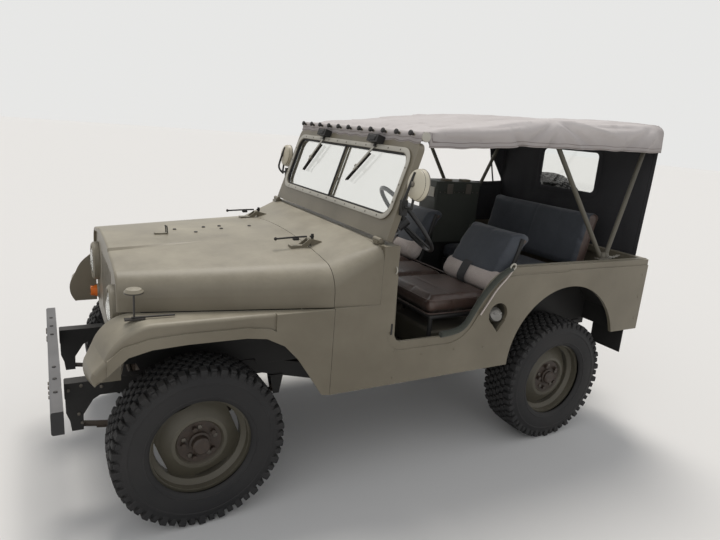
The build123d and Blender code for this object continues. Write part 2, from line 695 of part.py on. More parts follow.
# Tub floor: foot well, sloping toe board, heel step and raised rear floor.
def tub_floor():
    inner = BODY_HALF_WIDTH - SIDE_WALL - CLEARANCE
    step = behind(-WHEELHOUSE_HALF) + 20
    front = block(back(760), step, -inner, inner, FLOOR_Z - SHEET, FLOOR_Z)
    riser = block(step - SHEET, step, -inner, inner, FLOOR_Z - SHEET, REAR_FLOOR_Z)
    tail = behind(TAIL_BEHIND_AXLE) + SIDE_WALL + CLEARANCE
    rear = block(tail, step, -WHEELHOUSE_Y, WHEELHOUSE_Y, REAR_FLOOR_Z - SHEET, REAR_FLOOR_Z)
    toe_low = [(back(758), FLOOR_Z - SHEET), (back(600), 760)]
    toe_line = toe_low + [(back(600), 760 + SHEET + 2), (back(762), FLOOR_Z)]
    start, end = column_ends()
    return front.fuse(riser, rear, side_plate(toe_line, -inner, inner)) - rod(start, end, COLUMN_RADIUS + 8)


def wheelhouses():
    """Boxed wheelhouse on each side of the rear floor, with the ledge behind it."""
    inner = BODY_HALF_WIDTH - SIDE_WALL - CLEARANCE
    tail = behind(TAIL_BEHIND_AXLE) + SIDE_WALL + CLEARANCE
    wall_y = WHEELHOUSE_Y + CLEARANCE
    house = side_plate(wheelhouse_line(0), wall_y, inner)
    house = house - side_plate(wheelhouse_line(SHEET), wall_y + SHEET, inner + 1)
    ledge = block(tail, behind(WHEELHOUSE_HALF) + 1, wall_y, inner, REAR_FLOOR_Z - SHEET, REAR_FLOOR_Z)
    return solids_of(*both_sides(house + ledge))


def hood_section(x, half, low, shoulder_z, corner_y, corner_z, top):
    """A cross-section of the hood or cowl: upright sides, rounded shoulders and a crowned top."""
    mid_y = half - (half - corner_y) * 0.28
    mid_z = shoulder_z + (corner_z - shoulder_z) * 0.66
    line = [
        Line((half, low), (half, shoulder_z)),
        ThreePointArc((half, shoulder_z), (mid_y, mid_z), (corner_y, corner_z)),
        ThreePointArc((corner_y, corner_z), (0, top), (-corner_y, corner_z)),
        ThreePointArc((-corner_y, corner_z), (-mid_y, mid_z), (-half, shoulder_z)),
        Line((-half, shoulder_z), (-half, low)),
        Line((-half, low), (half, low)),
    ]
    return Plane.YZ.offset(x) * make_face(line)


def hood_body(wall, front, rear, low):
    """The hood's outer form brought in by a wall, between two stations."""
    rear_face = hood_section(rear, HOOD_REAR_HALF - wall, low, 1002, 600 - wall, 1125 - wall, COWL_TOP - wall)
    front_face = hood_section(front, HOOD_FRONT_HALF - wall, low, 1000, 462 - wall, 1092 - wall, 1132 - wall)
    return loft([rear_face, front_face])


def crown_height(across, corner_y, corner_z, top):
    """Height of the crowned top at a distance from the middle, on the arc between its two corners."""
    rise = top - corner_z
    radius = (corner_y**2 + rise**2) / (2 * rise)
    return top - radius + math.sqrt(radius**2 - across**2)


def bulge_section(x, half, corner_y, corner_z, top, rise):
    """Cross-section of the raised middle of the hood, standing a rise above the crown."""
    foot = crown_height(half, corner_y, corner_z, top)
    brow = crown_height(half - 12, corner_y, corner_z, top) + rise
    left = [(half - 12, brow), (half, foot - 1), (half, foot - 20)]
    right = [(-y, z) for y, z in reversed(left)]
    crown = ThreePointArc(right[-1], (0, top + rise), left[0])
    return Plane.YZ.offset(x) * make_face([Polyline(*left, *right), crown])


def hood_bulge():
    """Raised middle of the hood, widest and highest at its front edge and run out towards the cowl."""
    front, end = back(-HOOD_FRONT), back(HOOD_BULGE_END_BACK)
    share = (HOOD_FRONT + HOOD_BULGE_END_BACK) / (HOOD_FRONT + SEAM_BACK - 3)
    corner_y = 462 + (600 - 462) * share
    corner_z = 1092 + (1125 - 1092) * share
    top = 1132 + (COWL_TOP - 1132) * share
    faces = [
        bulge_section(front, HOOD_BULGE_HALF, 462, 1092, 1132, HOOD_BULGE_RISE),
        bulge_section(end, HOOD_BULGE_HALF - 46, corner_y, corner_z, top, -2),
    ]
    return loft(faces)


# Hood: one pressed lid with a raised middle, hinged at the cowl by two strap hinges.
def hood():
    front, rear = back(-HOOD_FRONT), back(SEAM_BACK - 3)
    form = hood_body(0, front, rear, HOOD_BOTTOM) + hood_bulge()
    brow = [e for e in form.edges() if e.center().X > front - 1 and e.center().Z > 1010]
    form = fillet(brow, HOOD_BROW_RADIUS)
    lip = front - HOOD_LIP_DEPTH
    shell = form - hood_body(HOOD_WALL, lip, rear - 1, HOOD_BOTTOM - 10)
    mouth = hood_section(lip - 2, HOOD_FRONT_HALF - 16, HOOD_BOTTOM - 10, 1000, 446, 1076, 1116)
    shell = shell - extrude(mouth, amount=HOOD_LIP_DEPTH + 4, dir=(1, 0, 0))
    pin_x, seat = back(SEAM_BACK), crown_height(HINGE_Y, 600, 1125, COWL_TOP)
    for side in (-1, 1):
        strap = block(pin_x + 14, pin_x + 96, side * HINGE_Y - 21, side * HINGE_Y + 21, seat - 8, seat + 6)
        shell = shell + strap
        eye = [(pin_x + 5, HINGE_Z + 8), (pin_x - 6, HINGE_Z + 6), (pin_x - 6, HINGE_Z - 6)]
        ear = [(pin_x + 52, seat)] + eye + [(pin_x + 16, seat)]
        for ear_y in (side * HINGE_Y - 21, side * HINGE_Y + 16):
            shell = shell + side_plate(ear, ear_y, ear_y + 5)
    return shell


def cowl_section(x, inset, share):
    """The cowl between the hood seam, at share 0, and the windscreen foot, at share 1."""
    grow = BODY_HALF_WIDTH - HOOD_REAR_HALF
    return hood_section(
        x,
        HOOD_REAR_HALF + grow * share - inset,
        FENDER_TOP + 2 + CLEARANCE - (20 if inset else 0),
        1002 + 130 * share,
        600 + 90 * share - inset,
        1125 + 86 * share - inset,
        COWL_TOP + 48 * share - inset,
    )


def cowl():
    """Cowl shell between the hood and the windscreen, with the deck that the screen stands on."""
    inner = BODY_HALF_WIDTH - SIDE_WALL - CLEARANCE
    front, rear = back(SEAM_BACK), back(POST_FRONT_BACK - CLEARANCE)
    outer = loft([cowl_section(front, 0, 0), cowl_section(rear, 0, 1)])
    hollow = loft([cowl_section(front + 1, SHEET, 0), cowl_section(rear - 1, SHEET, 1)])
    deck = block(rear + 4, back(POST_BACK), -inner, inner, SCREEN_FOOT_Z - 30, SCREEN_FOOT_Z - 12)
    shell = (outer - hollow) + deck
    pin_x, seat = back(SEAM_BACK), crown_height(HINGE_Y, 600, 1125, COWL_TOP)
    half = HINGE_WIDTH / 2 - 2
    for side in (-1, 1):
        y = side * HINGE_Y
        bracket = [
            (pin_x - 64, seat + 10),
            (pin_x - 64, seat + 22),
            (pin_x - 8, HINGE_Z + 8),
            (pin_x, HINGE_Z + 8),
            (pin_x, HINGE_Z - 8),
            (pin_x - 14, seat + 1),
        ]
        shell = shell + side_plate(bracket, y - half, y + half)
        shell = shell + rod((pin_x, y - half, HINGE_Z), (pin_x, y + half, HINGE_Z), HINGE_PIN_RADIUS)
    return shell


def firewall():
    inner = BODY_HALF_WIDTH - SIDE_WALL - CLEARANCE
    front = back(SEAM_BACK + 24)
    section = cowl_section(front, SHEET + CLEARANCE, 0.1)
    face = section & Plane.YZ.offset(front) * Pos(0, 1139) * Rectangle(2 * inner, 400)
    wall = extrude(face, amount=SHEET, dir=(-1, 0, 0))
    lower = block(front - SHEET, front, -inner, inner, 768, 940)
    start, end = column_ends()
    return (wall + lower) - rod(start, end, COLUMN_RADIUS + 8)


def dashboard():
    """Dash panel with the round instrument cluster, small gauges, the locker lid and a grab handle."""
    inner = BODY_HALF_WIDTH - SIDE_WALL - CLEARANCE
    rear = back(POST_BACK)
    panel = block(rear, rear + 4, -inner, inner, 1052, SCREEN_FOOT_Z - 13)
    cluster = Pos(rear + 6, 40, 1125) * Rot(0, 90, 0) * Cylinder(78, 40)
    body = panel + cluster
    for y, z in ((165, 1150), (165, 1085), (-75, 1085)):
        body = body + Pos(rear, y, z) * Rot(0, 90, 0) * Cylinder(26, 12)
    lid = block(rear - 10, rear + 1, -inner + 130, -inner + 480, 1068, 1178)
    body = body + fillet(lid.edges().filter_by(Axis.X), 18)
    grip_y0, grip_y1 = -inner + 190, -inner + 420
    bar = rod((rear - 44, grip_y0, 1198), (rear - 44, grip_y1, 1198), 9)
    legs = [rod((rear + 2, y, 1198), (rear - 44, y, 1198), 9) for y in (grip_y0, grip_y1)]
    body = body.fuse(bar, *legs, *[Pos(rear - 44, y, 1198) * Sphere(9.5) for y in (grip_y0, grip_y1)])
    start, end = column_ends()
    return body - rod(start, end, COLUMN_RADIUS + 8)


# Front fenders: the nose is swept, so its outline runs further forward and lower at its inner side.
FENDER_NOSE = [
    {"place": "crown", "inner": (272, 938), "outer": (170, 938)},
    {"place": "shoulder", "inner": (351, 899), "outer": (296, 898)},
    {"place": "brow", "inner": (398, 830), "outer": (366, 806)},
    {"place": "nose", "inner": (429, 765), "outer": (408, 766)},
    {"place": "tip", "inner": (433, 715), "outer": (416, 742)},
    {"place": "lip", "inner": (406, 652), "outer": (402, 712)},
    {"place": "lip_back", "inner": (396, 654), "outer": (391, 722)},
]
ARCH_LINE = [(334, 776), (285, 818), (200, 839), (66, 846), (-173, 845), (-259, 833)]
ARCH_TAIL = [(-341, 790), (-408, 717), (-471, 623), (-530, 531)]


def fender_line(side, wall=0.0):
    """Side outline of a front fender, brought in by a wall: over the crown, then along the arch."""
    points = [(X_FRONT + row[side][0] - wall, row[side][1] - wall) for row in FENDER_NOSE]
    crown, shoulder, brow, nose, tip, lip, lip_back = points
    rear, top = back(SEAM_BACK - 2) + wall, FENDER_TOP - wall
    upper = [
        Line((rear, top), crown),
        ThreePointArc(crown, shoulder, brow),
        Line(brow, nose),
        ThreePointArc(nose, tip, lip),
    ]
    if wall:
        return upper + [Polyline(lip, (lip_back[0], 400), (rear, 400), (rear, top))]
    arch = [(X_FRONT + x, z) for x, z in ARCH_LINE + ARCH_TAIL]
    return upper + [Polyline(lip, lip_back, *arch, (rear, BODY_BOTTOM - 8), (rear, top))]


def fender_form(wall, y0, y1):
    """A fender's solid form between its inner and its outer outline."""
    sections = [Plane.XZ.offset(-y0) * make_face(fender_line("inner", wall))]
    sections.append(Plane.XZ.offset(-y1) * make_face(fender_line("outer", wall)))
    return loft(sections, ruled=True)


def front_fender():
    """Left front fender: swept crown and nose, closed inside, with a raised bead on the arch."""
    inner_y, y1 = HOOD_FRONT_HALF + CLEARANCE * 3, BODY_HALF_WIDTH
    skirt_y, wall = y1 - FENDER_BEAD, FENDER_WALL
    rear = back(SEAM_BACK - 2)
    form = fender_form(0, inner_y, skirt_y)
    outer = [e for e in form.edges() if e.center().Y > skirt_y - 1 and e.center().X > rear + 5]
    form = fillet([e for e in outer if e.center().Z > 850 or e.center().X > X_FRONT + 375], FENDER_ROUND)
    outline = make_face(fender_line("outer"))
    arch = [(X_FRONT + x, z) for x, z in ARCH_LINE + ARCH_TAIL]
    lip_back = (X_FRONT + 391, 722)
    low = [(rear, BODY_BOTTOM - 8), (rear, 300), (X_FRONT + 402, 300), (X_FRONT + 402, 712)]
    below = Polyline(lip_back, *arch, *low, close=True)
    band = offset(make_face(below), FENDER_BEAD_HEIGHT, kind=Kind.ARC) & outline
    reach = block(rear, X_FRONT + FENDER_BEAD_END, 0, y1, 0, FENDER_TOP - FENDER_ROUND)
    form = form + (stand_up(band, y1 - 40, y1) & reach)
    rear_part = block(rear, back(FENDER_SEAM_BACK), y1 - 40, y1, BODY_BOTTOM - 20, FENDER_TOP)
    rear_part = rear_part & extrude(Plane.XZ * outline, amount=y1, dir=(0, 1, 0))
    rear_part = fillet(rear_part.edges().filter_by(Axis.X).sort_by(Axis.Z)[-1], 6)
    form = form + rear_part
    plan = Polygon(
        (rear - 1, HOOD_REAR_HALF + CLEARANCE * 3),
        (back(-HOOD_FRONT), inner_y),
        (X_FRONT + 450, inner_y),
        (X_FRONT + 450, y1 + 10),
        (rear - 1, y1 + 10),
        align=None,
    )
    form = form & extrude(plan, amount=1200)
    hollow = fender_form(wall, inner_y + wall, skirt_y - wall)
    inner_wall = Plane.XZ.offset(-inner_y) * make_face(fender_line("inner", wall / 2))
    cheek = extrude(inner_wall, amount=SHEET, dir=(0, 1, 0))
    cheek = cheek & block(back(-GRILLE_FRONT - 4), X_FRONT + 450, 0, y1, 654, FENDER_TOP)
    return form - hollow + cheek


def fender_aprons():
    """Splash panels that stand outside the frame rails, from the rails up to the hood's edge."""
    y = RAIL_Y + RAIL_WIDTH / 2 + GUSSET_WALL + APRON_GAP
    line = [
        (back(SEAM_BACK - 10), 560),
        (back(345), 560),
        (back(330), 592),
        (back(-190), 592),
        (back(-215), 640),
        (back(-282), 640),
        (back(-282), 800),
        (back(-200), 800),
        (back(-200), 930),
        (back(SEAM_BACK - 10), 930),
    ]
    return solids_of(*both_sides(side_plate(line, y, y + 4)))


def grille_panel():
    """Pressed front panel with upright, inward-flanged slots between the two headlamp openings."""
    front = back(-GRILLE_FRONT)
    gap = HOOD_WALL + 3
    half = HOOD_FRONT_HALF - gap
    face = hood_section(front, half, GRILLE_BOTTOM, 1000, 462 - gap, 1092 - gap, 1132 - gap)
    panel = extrude(face, amount=GRILLE_WALL, dir=(-1, 0, 0))
    slot = SlotOverall(GRILLE_SLOT_HEIGHT, GRILLE_SLOT_WIDTH, rotation=90)
    rim_height, rim_width = GRILLE_SLOT_HEIGHT + 2 * SLOT_COLLAR, GRILLE_SLOT_WIDTH + 2 * SLOT_COLLAR
    rim = SlotOverall(rim_height, rim_width, rotation=90)
    deep = GRILLE_WALL + SLOT_COLLAR_DEPTH
    behind_face = Plane.YZ.offset(front - deep)
    collars, cutters = [], []
    for n in range(GRILLE_SLOTS):
        place = Pos((n - (GRILLE_SLOTS - 1) / 2) * GRILLE_SLOT_PITCH, GRILLE_SLOT_Z)
        collars.append(extrude(behind_face * place * rim, amount=deep - 2))
        cutters.append(extrude(behind_face * place * slot, amount=deep + 4))
    for side in (-1, 1):
        hole = Pos(side * LAMP_Y, LAMP_Z) * Circle(LAMP_RADIUS - 12)
        cutters.append(extrude(behind_face * hole, amount=deep + 4))
        corner = Polygon(
            (side * (half - GRILLE_CORNER_CUT), GRILLE_BOTTOM),
            (side * half, GRILLE_BOTTOM + GRILLE_CORNER_CUT),
            (side * (half + 20), GRILLE_BOTTOM - 20),
            align=None,
        )
        cutters.append(extrude(behind_face * corner, amount=deep + 4, dir=(1, 0, 0)))
    return panel.fuse(*collars).cut(*cutters)


def radiator():
    core = block(back(-170), back(-226), -262, 262, 600, 1030)
    return core


def headlamps():
    """Two round headlamp shells with their retaining rings, set into the front panel."""
    face = GRILLE_FRONT
    ring = [
        (LAMP_RADIUS, 1),
        (LAMP_RADIUS - 2, 26),
        (LAMP_RADIUS - 12, 34),
        (LAMP_RADIUS - 18, 30),
        (LAMP_RADIUS - 18, -4),
        (LAMP_RADIUS - 24, -4),
        (LAMP_RADIUS - 40, -78),
        (0, -78),
        (0, -84),
        (LAMP_RADIUS - 36, -84),
        (LAMP_RADIUS - 14, -6),
        (LAMP_RADIUS - 14, 1),
    ]
    shell = revolve(make_face(Plane.XY * Polyline(*ring, close=True)), Axis.Y)
    lamp = Pos(back(-face), LAMP_Y, LAMP_Z) * Rot(0, 0, -90) * shell
    return solids_of(*both_sides(lamp))


def headlamp_lenses():
    radius = LAMP_RADIUS - 18 - CLEARANCE
    edge, bulge = 24, 17
    curve = (radius**2 + bulge**2) / (2 * bulge)
    half_turn = math.asin(radius / curve) / 2
    middle = (curve * math.sin(half_turn), edge + bulge - curve * (1 - math.cos(half_turn)))
    outline = [
        Polyline((0, edge + bulge), (0, 4), (radius, 4), (radius, edge)),
        ThreePointArc((radius, edge), middle, (0, edge + bulge)),
    ]
    rim = make_face(outline)
    lens = Pos(back(-GRILLE_FRONT), LAMP_Y, LAMP_Z) * Rot(0, 0, -90) * revolve(rim, Axis.Y)
    return solids_of(*both_sides(lens))


def turn_lamps():
    base = rod((back(-GRILLE_FRONT), LAMP_Y + 8, 745), (back(-GRILLE_FRONT - 24), LAMP_Y + 8, 745), 32)
    lens = rod((back(-GRILLE_FRONT - 24), LAMP_Y + 8, 745), (back(-GRILLE_FRONT - 44), LAMP_Y + 8, 745), 27)
    return solids_of(*both_sides(base + lens))


def marker_post():
    """Thin post with a mushroom cap on the left fender, and the rod that lies back from its foot."""
    x, y = back(-252), BODY_HALF_WIDTH - 88
    foot = block(x - 40, x + 36, y - 13, y + 13, FENDER_TOP, FENDER_TOP + 6)
    top = MARKER_TOP
    stem = rod((x, y, FENDER_TOP + 4), (x, y, top - 12), 4)
    cap = [(0, top - 22), (36, top - 22), (36, top - 16), (28, top - 6), (0, top)]
    hat = Pos(x, y, 0) * revolve(Plane.XZ * make_face(Polyline(*cap, close=True)), Axis.Z)
    lying = rod((x + 10, y, FENDER_TOP + 9), (x - 152, y + 5, FENDER_TOP + 9), 4)
    return foot + stem + hat + lying


# Windscreen, drawn in its own leaning plane: X across the car, Y up the slope.
def screen_plane():
    lean = math.radians(SCREEN_RAKE)
    foot, outward = (back(SCREEN_BACK), 0, SCREEN_FOOT_Z), (math.cos(lean), 0, math.sin(lean))
    return Plane(origin=foot, x_dir=(0, 1, 0), z_dir=outward)


def on_screen(across, up, out):
    """A point given across the car, up the slope and out from the middle of the frame."""
    return tuple(screen_plane().from_local_coords(Vector(across, up, out)))


def windscreen_frame():
    plate = Polygon(
        (-SCREEN_HALF_FOOT, 4),
        (SCREEN_HALF_FOOT, 4),
        (SCREEN_HALF_HEAD, SCREEN_HEIGHT),
        (-SCREEN_HALF_HEAD, SCREEN_HEIGHT),
        align=None,
    )
    plate = fillet(plate.vertices().sort_by(Axis.Y)[-2:], 45)
    middle = (GLASS_LOW + GLASS_HIGH) / 2
    opening = Pos(0, middle) * RectangleRounded(2 * GLASS_HALF, GLASS_HIGH - GLASS_LOW, GLASS_CORNER)
    bar = Pos(0, middle) * Rectangle(DIVIDER_WIDTH, GLASS_HIGH - GLASS_LOW + 10)
    half = SCREEN_FRAME_DEPTH / 2
    frame = Pos(0, 0, -half) * extrude(plate - opening + bar, amount=SCREEN_FRAME_DEPTH)
    high = GLASS_HIGH - GLASS_LOW + 2 * GLASS_RIM_WIDTH
    wide, corner = 2 * (GLASS_HALF + GLASS_RIM_WIDTH), GLASS_CORNER + GLASS_RIM_WIDTH
    rim = Pos(0, middle) * RectangleRounded(wide, high, corner) - opening
    out = half + GLASS_RIM_DEPTH
    return screen_plane() * (frame + Pos(0, 0, -out) * extrude(rim, amount=2 * out))


def windscreen_glass():
    middle = (GLASS_LOW + GLASS_HIGH) / 2
    pane = Pos(0, middle) * RectangleRounded(
        2 * (GLASS_HALF - CLEARANCE), GLASS_HIGH - GLASS_LOW - 2 * CLEARANCE, GLASS_CORNER - CLEARANCE
    )
    pane = pane - Pos(0, middle) * Rectangle(DIVIDER_WIDTH + 2 * CLEARANCE, GLASS_HIGH)
    return screen_plane() * Pos(0, 0, -GLASS_THICKNESS / 2) * extrude(pane, amount=GLASS_THICKNESS)


def canvas_header():
    """Tube along the top of the windscreen that the canvas is laced to, with its row of hooks."""
    up = HEADER_HEIGHT + HEADER_RADIUS - 6
    tube = tube_bar(on_screen(-SCREEN_HALF_HEAD, up, 0), on_screen(SCREEN_HALF_HEAD, up, 0), HEADER_RADIUS, 3)
    pitch = 2 * SCREEN_HALF_HEAD / HOOK_COUNT
    hooks = []
    for n in range(HOOK_COUNT):
        y = (n - (HOOK_COUNT - 1) / 2) * pitch
        neck = HEADER_RADIUS - 1.5
        hooks.append(rod(on_screen(y, up, neck), on_screen(y, up, neck + HOOK_REACH), 6))
        hooks.append(rod(on_screen(y, up, neck + HOOK_REACH), on_screen(y, up, neck + HOOK_REACH + 8), 12))
    return tube.fuse(*hooks)


def screen_hinges():
    """Pivot brackets at the foot of the windscreen, one at each end of the deck."""
    y0, y1 = SCREEN_HALF_FOOT - 77, SCREEN_HALF_FOOT - 15
    pin_x = back(SCREEN_BACK - 34)
    pin = rod((pin_x, y0, SCREEN_FOOT_Z + 6), (pin_x, y1, SCREEN_FOOT_Z + 6), 11)
    foot = block(pin_x - 26, pin_x + 14, y0 + 10, y1 - 10, SCREEN_FOOT_Z - 12, SCREEN_FOOT_Z + 2)
    return solids_of(*both_sides(pin + foot))


def wipers():
    pair = []
    half = SCREEN_FRAME_DEPTH / 2
    for across, blade_foot in ((-288, -430), (323, 150)):
        motor = screen_plane() * Pos(across, GLASS_HIGH + GLASS_RIM_WIDTH + 21, half + 22) * Box(104, 38, 42)
        pivot = on_screen(across, GLASS_HIGH + 6, half + 16)
        knee = on_screen(across, GLASS_HIGH + 24, half + 16)
        low = on_screen(blade_foot, GLASS_LOW + 110, half + 12)
        arm = rod(pivot, low, 4)
        stub = rod(knee, pivot, 7)
        pair.append(motor + stub + arm)
    return solids_of(*pair)


def mirrors():
    """Round mirrors on bent stalks, clamped to the sides of the windscreen frame."""
    out_y = BODY_HALF_WIDTH + 54
    disc = Pos(back(905), out_y - 1, 1498) * Rot(0, 84, -8) * Cylinder(68, 20)
    foot = on_screen(SCREEN_HALF_FOOT - 4, 170, 0)
    clamp = Pos(foot[0], foot[1] + 14, foot[2]) * Box(30, 22, 70)
    elbow = (back(882), out_y, 1395)
    stalk = rod((foot[0], foot[1] + 14, foot[2]), elbow, 6) + Pos(*elbow) * Sphere(7)
    stalk = stalk + rod(elbow, (back(893), out_y - 1, 1492), 6)
    return solids_of(*both_sides(disc + stalk + clamp))


# Steering gear. The column runs from the box on the left rail to the steering wheel.
def column_ends():
    foot = (back(PITMAN_BACK + 40), PITMAN_Y - 52, DRAG_LINK_Z + DRAG_ARM + 30)
    return foot, (back(STEERING_WHEEL_BACK), STEERING_WHEEL_Y, STEERING_WHEEL_Z)


def steering_column():
    """Column tube, steering box beside the left rail and the shaft stub of the drop arm."""
    foot, head = column_ends()
    run = (Vector(*head) - Vector(*foot)).normalized()
    top = Vector(*head) - run * 70
    tube = rod(foot, tuple(top), COLUMN_RADIUS)
    pivot = (back(PITMAN_BACK), PITMAN_Y - PITMAN_THICKNESS / 2 - CLEARANCE, DRAG_LINK_Z + DRAG_ARM)
    box = block(pivot[0] - 75, pivot[0] + 45, PITMAN_Y - 95, pivot[1] - 8, pivot[2] - 50, pivot[2] + 52)
    box = fillet(box.edges().filter_by(Axis.Y), 20)
    shaft = rod((pivot[0], pivot[1] - 20, pivot[2]), pivot, 20)
    return tube + box + shaft


def steering_wheel():
    foot, head = column_ends()
    run = (Vector(*head) - Vector(*foot)).normalized()
    plane = Plane(origin=head, z_dir=run)
    ring = plane * Torus(STEERING_WHEEL_RADIUS - STEERING_WHEEL_GRIP, STEERING_WHEEL_GRIP)
    hub = plane * Pos(0, 0, -60) * extrude(Circle(30), amount=60)
    wheel_body = ring + hub
    for n in range(3):
        place = plane * Rot(0, 0, 120 * n + 90) * Pos(0, 0, -30) * Rot(0, 81, 0)
        spoke = place * extrude(Circle(7), amount=STEERING_WHEEL_RADIUS - 12)
        wheel_body = wheel_body + spoke
    return wheel_body


def control_levers():
    """Three gear levers and the hand brake on the floor, and three pedals in front of the toe board."""
    levers = []
    for station, y, top_x, top_z, knob in (
        (back(1010), 0, back(1115), 985, 22),
        (back(1065), -72, back(1135), 850, 15),
        (back(1065), -112, back(1150), 835, 15),
    ):
        boot = Pos(station, y, FLOOR_Z) * extrude(Circle(24), amount=34, taper=18)
        stick = rod((station, y, FLOOR_Z + 20), (top_x, y, top_z), 8)
        levers.append(boot.fuse(stick, Pos(top_x, y, top_z) * Sphere(knob)))
    brake_foot = (back(1180), 70, FLOOR_Z)
    brake_grip = (back(1330), 70, 800)
    brake = block(brake_foot[0] - 50, brake_foot[0] + 30, 58, 82, FLOOR_Z, FLOOR_Z + 60)
    brake = brake.fuse(rod((brake_foot[0], 70, FLOOR_Z + 45), brake_grip, 9), Pos(*brake_grip) * Sphere(14))
    levers.append(brake)
    for y, width in ((250, 58), (345, 58), (510, 46)):
        pad = Pos(back(790), y, 745) * Rot(0, -52, 0) * Box(14, width, 84)
        arm = rod((back(786), y, 745), (back(700), y, 665), 9)
        levers.append(pad + arm)
    return solids_of(*levers)


def pitman_arm():
    pivot = (back(PITMAN_BACK), PITMAN_Y, DRAG_LINK_Z + DRAG_ARM)
    half = PITMAN_THICKNESS / 2
    line = [
        (pivot[0] - 24, pivot[2] + 4),
        (pivot[0] - 14, DRAG_LINK_Z - 4),
        (pivot[0] + 14, DRAG_LINK_Z - 4),
        (pivot[0] + 24, pivot[2] + 4),
    ]
    arm = side_plate(line, PITMAN_Y - half, PITMAN_Y + half)
    top = rod((pivot[0], PITMAN_Y - half, pivot[2]), (pivot[0], PITMAN_Y + half, pivot[2]), 24)
    low = rod((pivot[0], PITMAN_Y - half, DRAG_LINK_Z), (pivot[0], PITMAN_Y + half, DRAG_LINK_Z), 16)
    return arm + top + low


def drag_link():
    """Rod from the drop arm forward to the arm on the left swivel."""
    rear = (back(PITMAN_BACK), PITMAN_Y - PITMAN_THICKNESS / 2 - 2 - 16, DRAG_LINK_Z)
    front = (X_FRONT, KINGPIN_Y - DRAG_ARM, DRAG_LINK_Z)
    bar = rod(rear, front, DRAG_LINK_RADIUS)
    return bar + Pos(*rear) * Sphere(16) + Pos(*front) * Sphere(13)


def steering_knuckle(with_top_arm):
    """Left swivel housing: a shell round the axle's ball, kingpin caps, steering arm and back plate."""
    z = TYRE_RADIUS
    centre = Pos(X_FRONT, KINGPIN_Y, z)
    shell = centre * (Sphere(SWIVEL_RADIUS) - Sphere(SWIVEL_RADIUS - SWIVEL_WALL))
    shell = shell - block(X_FRONT - 100, X_FRONT + 100, KINGPIN_Y - 120, KINGPIN_Y - 24, z - 120, z + 120)
    caps = [rod((X_FRONT, KINGPIN_Y, z + s * 72), (X_FRONT, KINGPIN_Y, z + s * 90), 26) for s in (-1, 1)]
    plate_y = TRACK / 2 + DRUM_INNER_Y - HUB_GAP
    spindle = rod((X_FRONT, KINGPIN_Y + 74, z), (X_FRONT, plate_y, z), 44)
    plate = rod((X_FRONT, plate_y - 8, z), (X_FRONT, plate_y, z), DRUM_RADIUS - 4)
    tip = X_FRONT + STEER_ARM
    low, high = STEER_ARM_Z - 8, STEER_ARM_Z + 8
    arm_line = [(X_FRONT + 60, z + 20), (tip, low), (tip, high), (X_FRONT + 60, z + 46)]
    arm = side_plate(arm_line, KINGPIN_Y - 13, KINGPIN_Y + 13)
    eye = rod((tip, KINGPIN_Y, low), (tip, KINGPIN_Y, high), 18)
    body = shell.fuse(*caps, spindle, plate, arm, eye)
    if with_top_arm:
        low, high, inner = TOP_ARM_Z, TOP_ARM_Z + TOP_ARM_THICKNESS, KINGPIN_Y - DRAG_ARM
        bar = block(X_FRONT - 16, X_FRONT + 16, inner, KINGPIN_Y, low, high)
        end = rod((X_FRONT, inner, low), (X_FRONT, inner, high), 16)
        body = body.fuse(bar, end)
    return body


def tie_rod():
    ends = [(X_FRONT + STEER_ARM, s * KINGPIN_Y, TIE_ROD_Z) for s in (-1, 1)]
    bar = rod(ends[0], ends[1], TIE_ROD_RADIUS)
    return bar.fuse(*[Pos(*end) * Sphere(17) for end in ends])


def front_axle():
    ball = SWIVEL_RADIUS - SWIVEL_WALL - SWIVEL_GAP
    balls = [Pos(X_FRONT, s * KINGPIN_Y, TYRE_RADIUS) * Sphere(ball) for s in (-1, 1)]
    return axle(X_FRONT, KINGPIN_Y, -1).fuse(*balls)


def rear_axle():
    plate_y = TRACK / 2 + DRUM_INNER_Y - HUB_GAP
    plates = []
    for s in (-1, 1):
        start, end = (X_REAR, s * (plate_y - 8), TYRE_RADIUS), (X_REAR, s * plate_y, TYRE_RADIUS)
        plates.append(rod(start, end, DRUM_RADIUS - 4))
    return axle(X_REAR, plate_y, 1).fuse(*plates)


# Seats: a cushion, a leaning back and a low frame for each.
def front_seat_cushions():
    front, rear = back(SEAT_FRONT_BACK), back(SEAT_REAR_BACK)
    pad = block(front, rear, SEAT_INNER_Y, SEAT_OUTER_Y, SEAT_TOP - SEAT_PAD, SEAT_TOP)
    pad = fillet(pad.edges(), 22)
    return solids_of(*both_sides(pad))


def front_seat_backs():
    """Leaning backs with the thick roll along their foot."""
    foot, head = (back(SEAT_REAR_BACK - 103), SEAT_TOP + 50), (back(SEAT_REAR_BACK + 72), 1300)
    lean = math.atan2(foot[0] - head[0], head[1] - foot[1])
    length = math.hypot(foot[0] - head[0], head[1] - foot[1])
    width = SEAT_OUTER_Y - SEAT_INNER_Y
    slab = Box(92, width, length, align=(Align.MAX, Align.CENTER, Align.MIN))
    slab = fillet(slab.edges(), 30)
    roll = Pos(-20, 0, SEAT_ROLL_RADIUS + 22) * Rot(90, 0, 0) * Cylinder(SEAT_ROLL_RADIUS, width - 36)
    place = Pos(foot[0], (SEAT_OUTER_Y + SEAT_INNER_Y) / 2, foot[1]) * Rot(0, -math.degrees(lean), 0)
    return solids_of(*both_sides(place * (slab + roll)))


